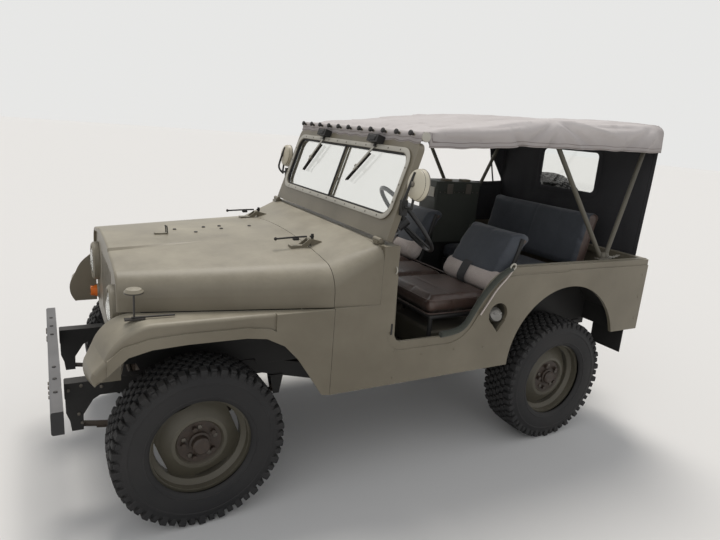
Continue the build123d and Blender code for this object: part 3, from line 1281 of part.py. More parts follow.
def front_seat_frames():
    low, high = FLOOR_Z, SEAT_TOP - SEAT_PAD
    grip = SEAT_TUBE_RADIUS
    level = high - grip - CLEARANCE
    x0, x1 = back(SEAT_FRONT_BACK + 30), back(SEAT_REAR_BACK - 44)
    tail = back(SEAT_REAR_BACK + 16)
    legs = []
    for y in (SEAT_INNER_Y + 16, SEAT_OUTER_Y - 16):
        legs += [rod((x, y, low), (x, y, level), grip) for x in (x0, x1)]
        legs.append(rod((x0, y, level), (tail, y, level), grip))
        legs += [Pos(x, y, level) * Sphere(grip) for x in (x0, tail)]
        legs.append(rod((tail, y, level), (back(SEAT_REAR_BACK + 142), y, 1200), grip))
    for x in (x0, x1):
        legs.append(rod((x, SEAT_INNER_Y + 16, level), (x, SEAT_OUTER_Y - 16, level), grip))
    frame = legs[0].fuse(*legs[1:])
    return solids_of(*both_sides(frame))


def rear_seat_stations():
    """Front and rear X of the rear cushion."""
    front = behind(-REAR_SEAT_FRONT_AHEAD)
    return front, front - REAR_SEAT_DEPTH


def rear_seat_cushion():
    front, rear = rear_seat_stations()
    half = WHEELHOUSE_Y - 18
    pad = block(front, rear, -half, half, REAR_SEAT_TOP - REAR_SEAT_PAD, REAR_SEAT_TOP)
    return fillet(pad.edges(), 24)


def rear_seat_back():
    front, rear = rear_seat_stations()
    slab = Box(92, 2 * WHEELHOUSE_Y - 20, 390, align=(Align.MAX, Align.CENTER, Align.MIN))
    slab = fillet(slab.edges(), 30)
    return Pos(rear + 42, 0, REAR_SEAT_TOP + 10) * Rot(0, -13, 0) * slab


def rear_seat_frame():
    front, rear = rear_seat_stations()
    grip = SEAT_TUBE_RADIUS
    level = REAR_SEAT_TOP - REAR_SEAT_PAD - grip - CLEARANCE
    half = WHEELHOUSE_Y - 50
    stations = (front - 20, rear + 20)
    bars = []
    for y in (-half, half):
        for x in stations:
            bars.append(rod((x, y, REAR_FLOOR_Z), (x, y, level), grip))
            bars.append(Pos(x, y, level) * Sphere(grip))
        bars.append(rod((stations[0], y, level), (stations[1], y, level), grip))
    for x in stations:
        bars.append(rod((x, -half, level), (x, half, level), grip))
    return bars[0].fuse(*bars[1:])


def stowage_chest():
    """Upright chest that stands on the right wheelhouse, with its lid edge round the top."""
    y0, y1 = -(BODY_HALF_WIDTH - 123), -(WHEELHOUSE_Y - 75)
    front, rear = behind(-172), behind(213)
    chest = block(front, rear, y0, y1, WHEELHOUSE_TOP, 1340)
    lid = block(front + 5, rear - 5, y0 - 5, y1 + 5, 1340, 1395)
    return fillet(chest.edges().filter_by(Axis.Z), 12) + fillet(lid.edges().filter_by(Axis.Z), 14)


# Canvas top. The roof slopes up to the rear bow and its side flaps hang over the door openings.
ROOF_STATIONS = [
    {"x": back(1018), "top": ROOF_FRONT_TOP, "flap": ROOF_FLAP_FRONT, "half": ROOF_HALF - 6, "round": 34},
    {"x": back(1620), "top": ROOF_BOW_TOP, "flap": 1690, "half": ROOF_HALF, "round": 66},
    {
        "x": behind(ROOF_END_BEHIND_AXLE),
        "top": ROOF_REAR_TOP,
        "flap": ROOF_FLAP_REAR,
        "half": ROOF_HALF,
        "round": 66,
    },
]


def roof_section(station, inset, reach):
    half = station["half"] - inset
    top = station["top"] - inset
    soft = station["round"]
    low = station["flap"] - (20 if inset else 0)
    bend = soft * (1 - math.sqrt(0.5))
    line = [
        Line((half, low), (half, top - 14 - soft)),
        ThreePointArc((half, top - 14 - soft), (half - bend, top - 14 - bend), (half - soft, top - 14)),
        ThreePointArc((half - soft, top - 14), (0, top), (-half + soft, top - 14)),
        ThreePointArc((-half + soft, top - 14), (-half + bend, top - 14 - bend), (-half, top - 14 - soft)),
        Polyline((-half, top - 14 - soft), (-half, low), (half, low)),
    ]
    return Plane.YZ.offset(station["x"] + reach) * make_face(line)


def canvas_roof():
    outer, inner = [], []
    for front, rear in zip(ROOF_STATIONS[:-1], ROOF_STATIONS[1:]):
        outer.append(loft([roof_section(front, 0, 0), roof_section(rear, 0, 0)]))
        inner.append(loft([roof_section(front, CANVAS, 0.5), roof_section(rear, CANVAS, -0.5)]))
    return (outer[0] + outer[1]).cut(*inner)


def rear_curtain():
    """Rear curtain with its window opening, hanging from the roof to the rail."""
    low, half = RAIL_TOP + 6, ROOF_HALF - 13
    high = ROOF_REAR_TOP - 40
    outline = [
        (-half + 15, low),
        (half - 15, low),
        (half, ROOF_FLAP_REAR),
        (half, high - 68),
        (half - 65, high),
        (-half + 65, high),
        (-half, high - 68),
        (-half, ROOF_FLAP_REAR),
    ]
    face = make_face(Polyline(*outline, close=True))
    face = face - Pos(0, REAR_WINDOW_Z) * RectangleRounded(REAR_WINDOW_WIDTH, REAR_WINDOW_HEIGHT, 40)
    return extrude(Plane.YZ.offset(behind(CURTAIN_BEHIND_AXLE) - CANVAS) * face, amount=CANVAS)


def rear_window():
    pane = Pos(0, REAR_WINDOW_Z) * RectangleRounded(REAR_WINDOW_WIDTH - 2, REAR_WINDOW_HEIGHT - 2, 39)
    return extrude(Plane.YZ.offset(behind(CURTAIN_BEHIND_AXLE) - 4) * pane, amount=2)


def bow(foot, shoulder, top_z):
    """One hoop: two legs from the body rail, leaning, and a crossbar under the canvas."""
    foot_x, foot_y = foot
    knee_x, knee_z = shoulder
    lean = (knee_x - foot_x) / (knee_z - BOW_FOOT_Z)
    head_x = foot_x + lean * (top_z - BOW_FOOT_Z)
    head_y = ROOF_HALF - 62
    bars = []
    for s in (-1, 1):
        head = (head_x, s * head_y, top_z)
        bars.append(rod((foot_x, s * foot_y, BOW_FOOT_Z + 22), head, BOW_RADIUS))
        bars.append(Pos(*head) * Sphere(BOW_RADIUS))
    bars.append(rod((head_x, -head_y, top_z), (head_x, head_y, top_z), BOW_RADIUS))
    return bars[0].fuse(*bars[1:])


def canvas_bows():
    foot_x = behind(BOW_FOOT_BEHIND_AXLE)
    foot_y = BODY_HALF_WIDTH - 63
    front = bow((foot_x + 16, foot_y), (behind(-150), 1689), 1812)
    rear = bow((foot_x - 16, foot_y), (behind(555), 1713), 1836)
    return solids_of(front, rear)


# Spare wheel carrier on the rear panel, to the right.
def spare_carrier():
    """Plate that the spare bolts to, on a round post from a bracket that stands on the rear panel."""
    tail = behind(TAIL_BEHIND_AXLE)
    seat = spare_centre_x() - DISC_FACE_Y + DISC_WALL + CLEARANCE
    plate = rod((seat, SPARE_Y, SPARE_Z), (seat + 10, SPARE_Y, SPARE_Z), 90)
    post = rod((seat + 8, SPARE_Y, SPARE_Z), (tail - 32, SPARE_Y, SPARE_Z), 55)
    bracket = block(tail - 34, tail - 26, SPARE_Y - 85, SPARE_Y + 85, 860, SPARE_Z + 85)
    spacers = [block(tail - 30, tail + 2, SPARE_Y - 85, SPARE_Y + 85, z, z + 60) for z in (870, 960)]
    return plate.fuse(post, bracket, *spacers)


def spare_centre_x():
    return behind(TAIL_BEHIND_AXLE + SPARE_GAP + TYRE_WIDTH / 2)


def mud_flaps():
    y0, y1 = BODY_HALF_WIDTH - 230, BODY_HALF_WIDTH - 7
    flap = block(behind(530), behind(536), y0, y1, 480, QUARTER_BOTTOM - CLEARANCE)
    return solids_of(*both_sides(flap))


def tail_lamps():
    """Round tail lamps on the rear panel, low at its corners."""
    tail = behind(TAIL_BEHIND_AXLE)
    y = BODY_HALF_WIDTH - 95
    shell = rod((tail, y, 715), (tail - 46, y, 715), 48)
    shell = fillet(shell.edges().group_by(Axis.X)[0], 8)
    lens = rod((tail - 44, y, 715), (tail - 56, y, 715), 36)
    return solids_of(*both_sides(shell + lens))


def place_wheel(piece, x, side):
    """Put a wheel made about Y with its outer face to +Y at one corner of the car."""
    turned = piece if side > 0 else mirror(piece, Plane.XZ)
    return Pos(x, side * TRACK / 2, TYRE_RADIUS) * turned


# Write one file per piece.
FRONT_WHEEL = wheel(HUB_NOSE)
REAR_WHEEL = wheel(HUB_NOSE - 20)
SPARE_WHEEL = wheel(0, with_drum=False)
TYRE = tyre()
SPARE_TURN = Pos(spare_centre_x(), SPARE_Y, SPARE_Z) * Rot(0, 0, 90)

NODES = {
    "frame_rails": frame_rails(),
    "frame_crossmembers": frame_crossmembers(),
    "front_bumper": front_bumper(),
    "rear_bumperettes": solids_of(rear_bumperettes(), tow_hook()),
    "front_axle": front_axle(),
    "rear_axle": rear_axle(),
    "leaf_springs": leaf_springs(),
    "engine_block": solids_of(engine_block(), radiator()),
    "driveline": solids_of(gearbox(), prop_shafts()),
    "exhaust": exhaust(),
    "fuel_tank": fuel_tank(),
    "tub_floor": tub_floor(),
    "wheelhouses": wheelhouses(),
    "body_sides": body_sides(),
    "rear_panel": rear_panel().fuse(spare_carrier()),
    "cowl": cowl().fuse(dashboard()),
    "firewall": firewall(),
    "fender_aprons": fender_aprons(),
    "front_fenders": solids_of(*both_sides(front_fender())),
    "marker_post": marker_post(),
    "grille_panel": grille_panel(),
    "headlamps": headlamps(),
    "headlamp_lenses": headlamp_lenses(),
    "turn_lamps": turn_lamps(),
    "tail_lamps": tail_lamps(),
    "hood": hood(),
    "windscreen_frame": solids_of(windscreen_frame(), canvas_header(), screen_hinges()),
    "windscreen_glass": windscreen_glass(),
    "wipers": wipers(),
    "mirrors": mirrors(),
    "steering_column": steering_column(),
    "steering_wheel": steering_wheel(),
    "control_levers": control_levers(),
    "pitman_arm": pitman_arm(),
    "drag_link": drag_link(),
    "knuckle_left": steering_knuckle(True),
    "knuckle_right": mirror(steering_knuckle(False), Plane.XZ),
    "tie_rod": tie_rod(),
    "seat_cushions": solids_of(front_seat_cushions(), rear_seat_cushion()),
    "seat_backs": solids_of(front_seat_backs(), rear_seat_back()),
    "seat_frames": solids_of(front_seat_frames(), rear_seat_frame()),
    "stowage_chest": stowage_chest(),
    "canvas_bows": canvas_bows(),
    "canvas_roof": canvas_roof(),
    "rear_curtain": rear_curtain(),
    "rear_window": rear_window(),
    "mud_flaps": mud_flaps(),
    "wheel_spare": SPARE_TURN * SPARE_WHEEL,
    "tyre_spare": SPARE_TURN * TYRE,
}
for corner, x, side, rim in (
    ("front_left", X_FRONT, 1, FRONT_WHEEL),
    ("front_right", X_FRONT, -1, FRONT_WHEEL),
    ("rear_left", X_REAR, 1, REAR_WHEEL),
    ("rear_right", X_REAR, -1, REAR_WHEEL),
):
    NODES["wheel_" + corner] = place_wheel(rim, x, side)
    NODES["tyre_" + corner] = place_wheel(TYRE, x, side)

os.makedirs("parts", exist_ok=True)
for name, piece in NODES.items():
    export_step(piece, "parts/" + name + ".step")
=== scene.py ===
import math

import bpy
from mathutils import Matrix, Vector, noise


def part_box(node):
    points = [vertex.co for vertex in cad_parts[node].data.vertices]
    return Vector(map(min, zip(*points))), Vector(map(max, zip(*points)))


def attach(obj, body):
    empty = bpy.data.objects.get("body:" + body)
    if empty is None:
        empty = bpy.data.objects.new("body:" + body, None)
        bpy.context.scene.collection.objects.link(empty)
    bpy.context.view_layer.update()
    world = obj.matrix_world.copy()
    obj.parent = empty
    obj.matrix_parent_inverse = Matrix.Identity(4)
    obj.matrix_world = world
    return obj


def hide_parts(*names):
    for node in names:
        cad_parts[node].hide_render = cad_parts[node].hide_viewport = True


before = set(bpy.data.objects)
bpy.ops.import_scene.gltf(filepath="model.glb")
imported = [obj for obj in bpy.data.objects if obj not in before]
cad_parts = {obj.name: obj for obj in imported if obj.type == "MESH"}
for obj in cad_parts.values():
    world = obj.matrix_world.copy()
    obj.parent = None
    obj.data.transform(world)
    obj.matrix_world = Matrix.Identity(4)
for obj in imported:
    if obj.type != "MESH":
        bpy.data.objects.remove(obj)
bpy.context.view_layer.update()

# The photograph's camera, found by its place, heading, tilt and lean. The places of wheels and
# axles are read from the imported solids, so that every later piece follows them.
tyre_low, tyre_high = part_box("tyre_front_left")
rear_tyre_low, rear_tyre_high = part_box("tyre_rear_left")
front_axle_x = (tyre_low.x + tyre_high.x) / 2
rear_axle_x = (rear_tyre_low.x + rear_tyre_high.x) / 2
axle_z = (tyre_low.z + tyre_high.z) / 2
wheel_y = (tyre_low.y + tyre_high.y) / 2
tyre_radius = (tyre_high.z - tyre_low.z) / 2

bpy.ops.object.select_all(action="DESELECT")
bpy.ops.object.camera_add()
camera = bpy.context.object
camera.name = "camera"
camera_heading = math.radians(-119.398)
camera_tilt = math.radians(-14.079)
camera_lean = math.radians(4.592)
camera.matrix_world = (
    Matrix.Translation((front_axle_x + 0.5344, 2.8866, 1.7312))
    @ Matrix.Rotation(camera_heading - math.pi / 2, 4, "Z")
    @ Matrix.Rotation(math.pi / 2 + camera_tilt, 4, "X")
    @ Matrix.Rotation(camera_lean, 4, "Z")
)
camera.data.sensor_fit = "HORIZONTAL"
camera.data.sensor_width = 36.0
camera.data.lens = 28.76
camera.data.clip_end = 200.0
bpy.context.scene.camera = camera
bpy.context.scene.view_settings.view_transform = "Standard"


# The studio: a plain pale floor, an even pale surround that the camera, metal and glass see, and
# three soft lamps far away, the strongest from above and behind the car's right side.
def set_inputs(tree, node, inputs):
    """Links the sockets and sets the plain values that are given for a node's inputs."""
    for key, value in inputs.items():
        if isinstance(value, bpy.types.NodeSocket):
            tree.links.new(value, node.inputs[key])
        else:
            node.inputs[key].default_value = value


def add_node(tree, kind, inputs=None, **settings):
    node = tree.nodes.new(kind)
    for key, value in settings.items():
        setattr(node, key, value)
    set_inputs(tree, node, inputs or {})
    return node


def mixed(tree, share, first, second):
    """A colour between two others."""
    inputs = {"Factor": share, "A": first, "B": second}
    return add_node(tree, "ShaderNodeMix", inputs, data_type="RGBA").outputs["Result"]


def ranged(tree, value, before, after=(0.0, 1.0)):
    """A value carried from one range to another and held at its ends."""
    inputs = {"Value": value, "From Min": before[0], "From Max": before[1],
              "To Min": after[0], "To Max": after[1]}
    return add_node(tree, "ShaderNodeMapRange", inputs).outputs["Result"]


def reckoned(tree, operation, first, second=0.5, clamp=False):
    """One step of arithmetic."""
    inputs = {0: first, 1: second}
    node = add_node(tree, "ShaderNodeMath", inputs, operation=operation, use_clamp=clamp)
    return node.outputs["Value"]


def clouded(tree, scale, detail, vector=None, roughness=0.5):
    """Cloudy grey noise."""
    inputs = {"Scale": scale, "Detail": detail, "Roughness": roughness}
    if vector is not None:
        inputs["Vector"] = vector
    return add_node(tree, "ShaderNodeTexNoise", inputs).outputs["Fac"]


def begun(name, primitive, **settings):
    """A new object from one of Blender's primitives, named and alone in the selection."""
    bpy.ops.object.select_all(action="DESELECT")
    primitive(**settings)
    bpy.context.object.name = name
    return bpy.context.object


def new_material(name):
    material = bpy.data.materials.new(name)
    material.use_nodes = True
    return material, material.node_tree, material.node_tree.nodes["Principled BSDF"]


floor = begun("floor", bpy.ops.mesh.primitive_plane_add, size=120.0)
floor_paint, tree, shader = new_material("floor_paint")
mottle = clouded(tree, 0.35, 3.0)
set_inputs(tree, shader, {
    "Base Color": mixed(tree, mottle, (0.70, 0.69, 0.67, 1), (0.74, 0.73, 0.71, 1)),
    "Roughness": 0.9, "Specular IOR Level": 0.05,
})
floor.data.materials.append(floor_paint)

world = bpy.data.worlds.new("studio")
bpy.context.scene.world = world
world.use_nodes = True
tree = world.node_tree
sky = tree.nodes["Background"]
set_inputs(tree, sky, {"Color": (0.94, 0.96, 1.0, 1), "Strength": 0.45})
pale = add_node(tree, "ShaderNodeBackground", {"Color": (0.80, 0.80, 0.79, 1), "Strength": 1.0})
rays = add_node(tree, "ShaderNodeLightPath").outputs
straight = reckoned(tree, "MAXIMUM", rays["Is Camera Ray"], rays["Is Transmission Ray"])
seen = reckoned(tree, "MAXIMUM", straight, rays["Is Glossy Ray"])
surround = add_node(
    tree, "ShaderNodeMixShader", {"Fac": seen, 1: sky.outputs[0], 2: pale.outputs[0]}
)
set_inputs(tree, tree.nodes["World Output"], {"Surface": surround.outputs["Shader"]})

for lamp_name, lamp_from, lamp_spread, lamp_strength, lamp_colour in (
    ("key_lamp", (-0.5, -1.5, 3.4), 24, 2.05, (1.0, 0.965, 0.92)),
    ("fill_lamp", (2.6, 3.0, 2.0), 70, 0.55, (0.97, 0.98, 1.0)),
    ("back_lamp", (-3.0, 1.2, 1.6), 60, 0.22, (0.97, 0.98, 1.0)),
):
    bpy.ops.object.light_add(type="SUN", location=lamp_from)
    lamp = bpy.context.object
    lamp.name = lamp_name
    lamp.data.energy = lamp_strength
    lamp.data.angle = math.radians(lamp_spread)
    lamp.data.color = lamp_colour
    lamp.rotation_euler = Vector(lamp_from).to_track_quat("Z", "Y").to_euler()


# The body shell: pressed steel panels under dull olive paint, faded grey-brown where the sun
# reaches and dusty on flat tops. Its solids are right as they are and take the paint.
def shader_group(name, inputs, outputs):
    group = bpy.data.node_groups.new(name, "ShaderNodeTree")
    for socket_name, kind in inputs:
        group.interface.new_socket(socket_name, in_out="INPUT", socket_type="NodeSocket" + kind)
    for socket_name, kind in outputs:
        group.interface.new_socket(socket_name, in_out="OUTPUT", socket_type="NodeSocket" + kind)
    given, result = add_node(group, "NodeGroupInput"), add_node(group, "NodeGroupOutput")
    return group, given.outputs, result.inputs


def object_place(tree):
    return add_node(tree, "ShaderNodeTexCoord").outputs["Object"]


edge_wear, given, result = shader_group(
    "edge_wear", [("Radius", "Float"), ("Patch Scale", "Float")], [("Mask", "Float")]
)
rounded = add_node(edge_wear, "ShaderNodeBevel", {"Radius": given["Radius"]}, samples=4)
facing = add_node(edge_wear, "ShaderNodeNewGeometry")
bend = add_node(
    edge_wear, "ShaderNodeVectorMath",
    {0: rounded.outputs["Normal"], 1: facing.outputs["Normal"]},
    operation="DOT_PRODUCT",
)
sharp = ranged(edge_wear, bend.outputs["Value"], (0.985, 0.80))
patches = clouded(edge_wear, given["Patch Scale"], 4.0, object_place(edge_wear))
broken = ranged(edge_wear, patches, (0.42, 0.62))
edge_wear.links.new(reckoned(edge_wear, "MULTIPLY", sharp, broken), result["Mask"])

settled_dust, given, result = shader_group(
    "settled_dust", [("Amount", "Float"), ("Patch Scale", "Float")], [("Mask", "Float")]
)
place = add_node(settled_dust, "ShaderNodeTexCoord").outputs
upward = add_node(settled_dust, "ShaderNodeSeparateXYZ", {"Vector": place["Normal"]})
flat_top = ranged(settled_dust, upward.outputs["Z"], (0.25, 0.95), (0.18, 1.0))
clouds = clouded(settled_dust, given["Patch Scale"], 6.0, place["Object"], 0.65)
lay = ranged(settled_dust, clouds, (0.05, 0.78))
heap = reckoned(settled_dust, "MULTIPLY", flat_top, lay)
mask = reckoned(settled_dust, "MULTIPLY", heap, given["Amount"], clamp=True)
settled_dust.links.new(mask, result["Mask"])

fine_grain, given, result = shader_group(
    "fine_grain", [("Scale", "Float")], [("Tone", "Float"), ("Height", "Float")]
)
blotches = clouded(fine_grain, 2.4, 6.0, object_place(fine_grain))
cells = clouded(fine_grain, given["Scale"], 5.0, object_place(fine_grain), 0.6)
fine_grain.links.new(blotches, result["Tone"])
fine_grain.links.new(cells, result["Height"])


def bumped(tree, height, strength, distance, under=None):
    """The normal of a relief of the given height in metres, over another if there is one."""
    inputs = {"Height": height, "Strength": strength, "Distance": distance}
    if under is not None:
        inputs["Normal"] = under
    return add_node(tree, "ShaderNodeBump", inputs).outputs["Normal"]


def painted(name, fresh, faded, gloss, dust=0.35, wear=0.3, wear_colour=(0.30, 0.28, 0.24, 1),
            dust_colour=(0.42, 0.38, 0.31, 1), grain=260.0, metallic=0.0, edge=0.004, bump=0.05,
            specular=0.4):
    """Paint, metal or rubber that fades in patches, gathers dust and wears at its edges."""
    material, tree, shader = new_material(name)
    grained = add_node(tree, "ShaderNodeGroup", {"Scale": grain}, node_tree=fine_grain).outputs
    lying = {"Amount": dust, "Patch Scale": 5.0}
    dusty = add_node(tree, "ShaderNodeGroup", lying, node_tree=settled_dust).outputs["Mask"]
    rubbed = {"Radius": edge, "Patch Scale": 16.0}
    worn = add_node(tree, "ShaderNodeGroup", rubbed, node_tree=edge_wear).outputs["Mask"]
    coat = mixed(tree, ranged(tree, grained["Tone"], (0.35, 0.68)), fresh, faded)
    dusted = mixed(tree, dusty, coat, dust_colour)
    set_inputs(tree, shader, {
        "Base Color": mixed(tree, reckoned(tree, "MULTIPLY", worn, wear), dusted, wear_colour),
        "Roughness": ranged(tree, dusty, (0.0, 1.0), (gloss, min(1.0, gloss + 0.45))),
        "Normal": bumped(tree, grained["Height"], bump, 0.002),
        "Metallic": metallic, "Specular IOR Level": specular,
    })
    return material


def paint_nodes(material, *names):
    for name in names:
        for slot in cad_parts[name].material_slots:
            slot.material = material


olive_paint = painted(
    "olive_paint", (0.122, 0.104, 0.072, 1), (0.166, 0.144, 0.104, 1), 0.36,
    dust=0.55, wear=0.35, dust_colour=(0.50, 0.46, 0.36, 1),
)
paint_nodes(
    olive_paint, "body_sides", "rear_panel", "cowl", "front_fenders", "grille_panel", "hood",
    "headlamps", "windscreen_frame",
)
# Painted shade: the tub's inside, the fuel tank and the hoops take a copy of the olive paint at
# about half its brightness, with darker dust.
shaded_cabin_paint = painted(
    "shaded_cabin_paint", (0.062, 0.057, 0.042, 1), (0.090, 0.083, 0.062, 1), 0.5, dust=0.5, wear=0.5,
    dust_colour=(0.24, 0.21, 0.17, 1),
)
paint_nodes(shaded_cabin_paint, "tub_floor", "firewall", "fuel_tank", "canvas_bows")


# Tyres: black cross-country tyres with tall open blocks. Each carcass is one section spun round its
# axle, and one pitch of the tread is modelled and repeated round it.
def coated(piece, material):
    piece.data.materials.clear()
    piece.data.materials.append(material)
    return piece


def joined(pieces, name):
    """Makes one object of several, with its origin at the world's."""
    bpy.ops.object.select_all(action="DESELECT")
    for piece in pieces:
        piece.select_set(True)
    bpy.context.view_layer.objects.active = pieces[0]
    if len(pieces) > 1:
        bpy.ops.object.join()
    bpy.ops.object.transform_apply(location=True, rotation=True, scale=True)
    whole = bpy.context.object
    whole.name = name
    whole.data.name = name
    return whole


def copy_of(piece, name, move):
    twin = piece.copy()
    twin.data = piece.data.copy()
    twin.name = name
    bpy.context.scene.collection.objects.link(twin)
    twin.matrix_world = move @ piece.matrix_world
    return joined([twin], name)


def copies_round(piece, name, count, centre, axis):
    here, back_again = Matrix.Translation(centre), Matrix.Translation(-Vector(centre))
    copies = [
        copy_of(piece, name, here @ Matrix.Rotation(math.tau * n / count, 4, axis) @ back_again)
        for n in range(1, count)
    ]
    return joined([piece] + copies, name)


def turned(name, section, centre, axis, steps):
    """Draws a section from one vertex by extrusion, in metres from centre, and spins it shut."""
    piece = begun(name, bpy.ops.mesh.primitive_plane_add, size=0.001)
    bpy.ops.object.mode_set(mode="EDIT")
    bpy.ops.mesh.merge(type="CENTER")
    start = Vector(centre) + Vector(section[0])
    bpy.ops.transform.translate(value=start)
    for before, after in zip(section, section[1:]):
        step = Vector(after) - Vector(before)
        bpy.ops.mesh.extrude_region_move(TRANSFORM_OT_translate={"value": step})
    bpy.ops.mesh.select_all(action="SELECT")
    bpy.ops.mesh.spin(steps=steps, angle=math.tau, center=centre, axis=axis)
    bpy.ops.mesh.select_all(action="SELECT")
    bpy.ops.mesh.remove_doubles(threshold=0.00002)
    bpy.ops.mesh.normals_make_consistent(inside=False)
    bpy.ops.object.mode_set(mode="OBJECT")
    bpy.ops.object.shade_smooth_by_angle(angle=math.radians(32))
    return piece


def block(name, size, place, bevel=0.0, segments=1, turn=None):
    """A bevelled bar of metal, rubber or wood at its own size and place."""
    piece = begun(name, bpy.ops.mesh.primitive_cube_add, size=1.0)
    piece.matrix_world = (
        Matrix.Translation(place) @ (turn or Matrix.Identity(4)) @ Matrix.Diagonal((*size, 1.0))
    )
    bpy.ops.object.transform_apply(location=True, rotation=True, scale=True)
    if bevel:
        bpy.ops.object.mode_set(mode="EDIT")
        bpy.ops.mesh.select_all(action="SELECT")
        bpy.ops.mesh.bevel(offset=bevel, segments=segments, affect="EDGES")
        bpy.ops.object.mode_set(mode="OBJECT")
        bpy.ops.object.shade_smooth_by_angle(angle=math.radians(40))
    return piece


tyre_rubber = painted(
    "tyre_rubber", (0.016, 0.016, 0.017, 1), (0.027, 0.026, 0.026, 1), 0.66,
    dust=0.26, wear=0.45, wear_colour=(0.070, 0.067, 0.064, 1),
    dust_colour=(0.085, 0.078, 0.068, 1), grain=420.0, edge=0.003, bump=0.12, specular=0.25,
)
tread_pitches = 26
tread_gap, shoulder_drop, shoulder_tilt, right_phase = 0.0006, 0.0026, -5.0, 0.25
claw_y, claw_top, claw_tilt = 0.1015, 0.3500, -10.0
carcass_side = [
    (0.0, 0.3490), (0.060, 0.3480), (0.088, 0.3450), (0.0985, 0.3360), (0.1035, 0.3220),
    (0.1062, 0.3060), (0.1078, 0.3040), (0.1078, 0.2990), (0.1060, 0.2970), (0.1072, 0.2800),
    (0.1062, 0.2560), (0.1030, 0.2400), (0.1040, 0.2385), (0.1036, 0.2350), (0.1010, 0.2335),
    (0.0985, 0.2270), (0.0960, 0.2215), (0.0900, 0.2145), (0.0840, 0.2125), (0.0830, 0.2300),
    (0.0880, 0.2700), (0.0840, 0.3200), (0.0600, 0.3380), (0.0, 0.3400),
]
section = [(0.0, w, r) for w, r in carcass_side]
section += [(0.0, -w, r) for w, r in reversed(carcass_side[:-1])]
tyre_centre = Vector((front_axle_x, wheel_y, axle_z))
carcass = turned("tyre_front_left_rubber", section, tyre_centre, (0, 1, 0), 88)

pitch_angle = math.tau / tread_pitches
lugs = []
for lug_name, lug_w, lug_phase, lug_size, lug_skew in (
    ("shoulder_long", 0.0845, 0.00, (0.030, 0.046, 0.0260), 0),
    ("shoulder_short", 0.0800, 0.50, (0.026, 0.040, 0.0250), 0),
    ("outer_block", 0.0440, 0.24, (0.030, 0.026, 0.0210), 22),
    ("outer_block", 0.0440, 0.74, (0.027, 0.028, 0.0210), -14),
    ("centre_block", 0.0145, 0.02, (0.032, 0.022, 0.0190), -24),
    ("centre_block", 0.0145, 0.52, (0.029, 0.024, 0.0190), 18),
):
    for side in (1, -1):
        height = tyre_radius - tread_gap - lug_size[2] / 2
        lug = block(
            lug_name, lug_size, (0, 0, 0), 0.0032,
            turn=Matrix.Rotation(math.radians(lug_skew * side), 4, "Z"),
        )
        phase = lug_phase + (right_phase if side < 0 else 0.0)
        drop, tilt = (shoulder_drop, shoulder_tilt) if "shoulder" in lug_name else (0.0, 0.0)
        lug.matrix_world = (
            Matrix.Translation(tyre_centre) @ Matrix.Rotation(pitch_angle * phase, 4, "Y")
            @ Matrix.Translation((0, side * lug_w, height - drop))
            @ Matrix.Rotation(math.radians(tilt * side), 4, "X")
        )
        lugs.append(lug)
for claw_phase, claw_size in ((0.00, (0.026, 0.0085, 0.040)), (0.50, (0.022, 0.0080, 0.024))):
    for side in (1, -1):
        claw = block("shoulder_claw", claw_size, (0, 0, 0), 0.0028)
        phase = claw_phase + (right_phase if side < 0 else 0.0)
        claw.matrix_world = (
            Matrix.Translation(tyre_centre) @ Matrix.Rotation(pitch_angle * phase, 4, "Y")
            @ Matrix.Translation((0, side * claw_y, claw_top - claw_size[2] / 2))
            @ Matrix.Rotation(math.radians(claw_tilt * side), 4, "X")
        )
        lugs.append(claw)
tread = copies_round(joined(lugs, "tread_pitch"), "tread", tread_pitches, tyre_centre, "Y")
tyre = coated(joined([carcass, tread], "tyre_front_left_rubber"), tyre_rubber)
spare_low, spare_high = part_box("tyre_spare")
spare_centre = (spare_low + spare_high) / 2
tyres = {"front_left": tyre}
for corner, move in (
    ("front_right", Matrix.Translation((0, -2 * wheel_y, 0))),
    ("rear_left", Matrix.Translation((rear_axle_x - front_axle_x, 0, 0))),
    ("rear_right", Matrix.Translation((rear_axle_x - front_axle_x, -2 * wheel_y, 0))),
    ("spare", Matrix.Translation(spare_centre) @ Matrix.Rotation(math.pi / 2, 4, "Z")
     @ Matrix.Translation(-tyre_centre)),
):
    tyres[corner] = copy_of(tyre, f"tyre_{corner}_rubber", move)
for corner, rubber in tyres.items():
    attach(rubber, "car" if corner == "spare" else f"wheel_{corner}")
    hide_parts(f"tyre_{corner}")


# Wheels: stamped steel discs in rims, painted olive and grimy, with a greasy hub in the recess.
# The grime and grease follow each wheel's own centre, so each wheel has its own paint.
def paint_over(tree, where, colour):
    """Lays a second colour over a finished paint, where a mask says."""
    shader = tree.nodes["Principled BSDF"]
    coat = shader.inputs["Base Color"].links[0].from_socket
    set_inputs(tree, shader, {"Base Color": mixed(tree, where, coat, colour)})


def wheel_paint(corner, centre, across):
    paint = painted(
        f"wheel_paint_{corner}", (0.066, 0.060, 0.043, 1), (0.094, 0.085, 0.062, 1), 0.46,
        dust=0.45, wear=0.3, dust_colour=(0.15, 0.13, 0.10, 1),
    )
    tree = paint.node_tree
    arm = add_node(
        tree, "ShaderNodeVectorMath", {0: object_place(tree), 1: centre}, operation="SUBTRACT"
    )
    flat_arm = add_node(
        tree, "ShaderNodeVectorMath", {0: arm.outputs["Vector"], 1: across}, operation="MULTIPLY"
    )
    reach = add_node(
        tree, "ShaderNodeVectorMath", {0: flat_arm.outputs["Vector"]}, operation="LENGTH"
    )
    grease = ranged(tree, reach.outputs["Value"], (0.104, 0.090))
    patchy = clouded(tree, 55.0, 4.0, object_place(tree))
    paint_over(
        tree, grease, mixed(tree, patchy, (0.016, 0.013, 0.011, 1), (0.060, 0.040, 0.028, 1))
    )
    return paint


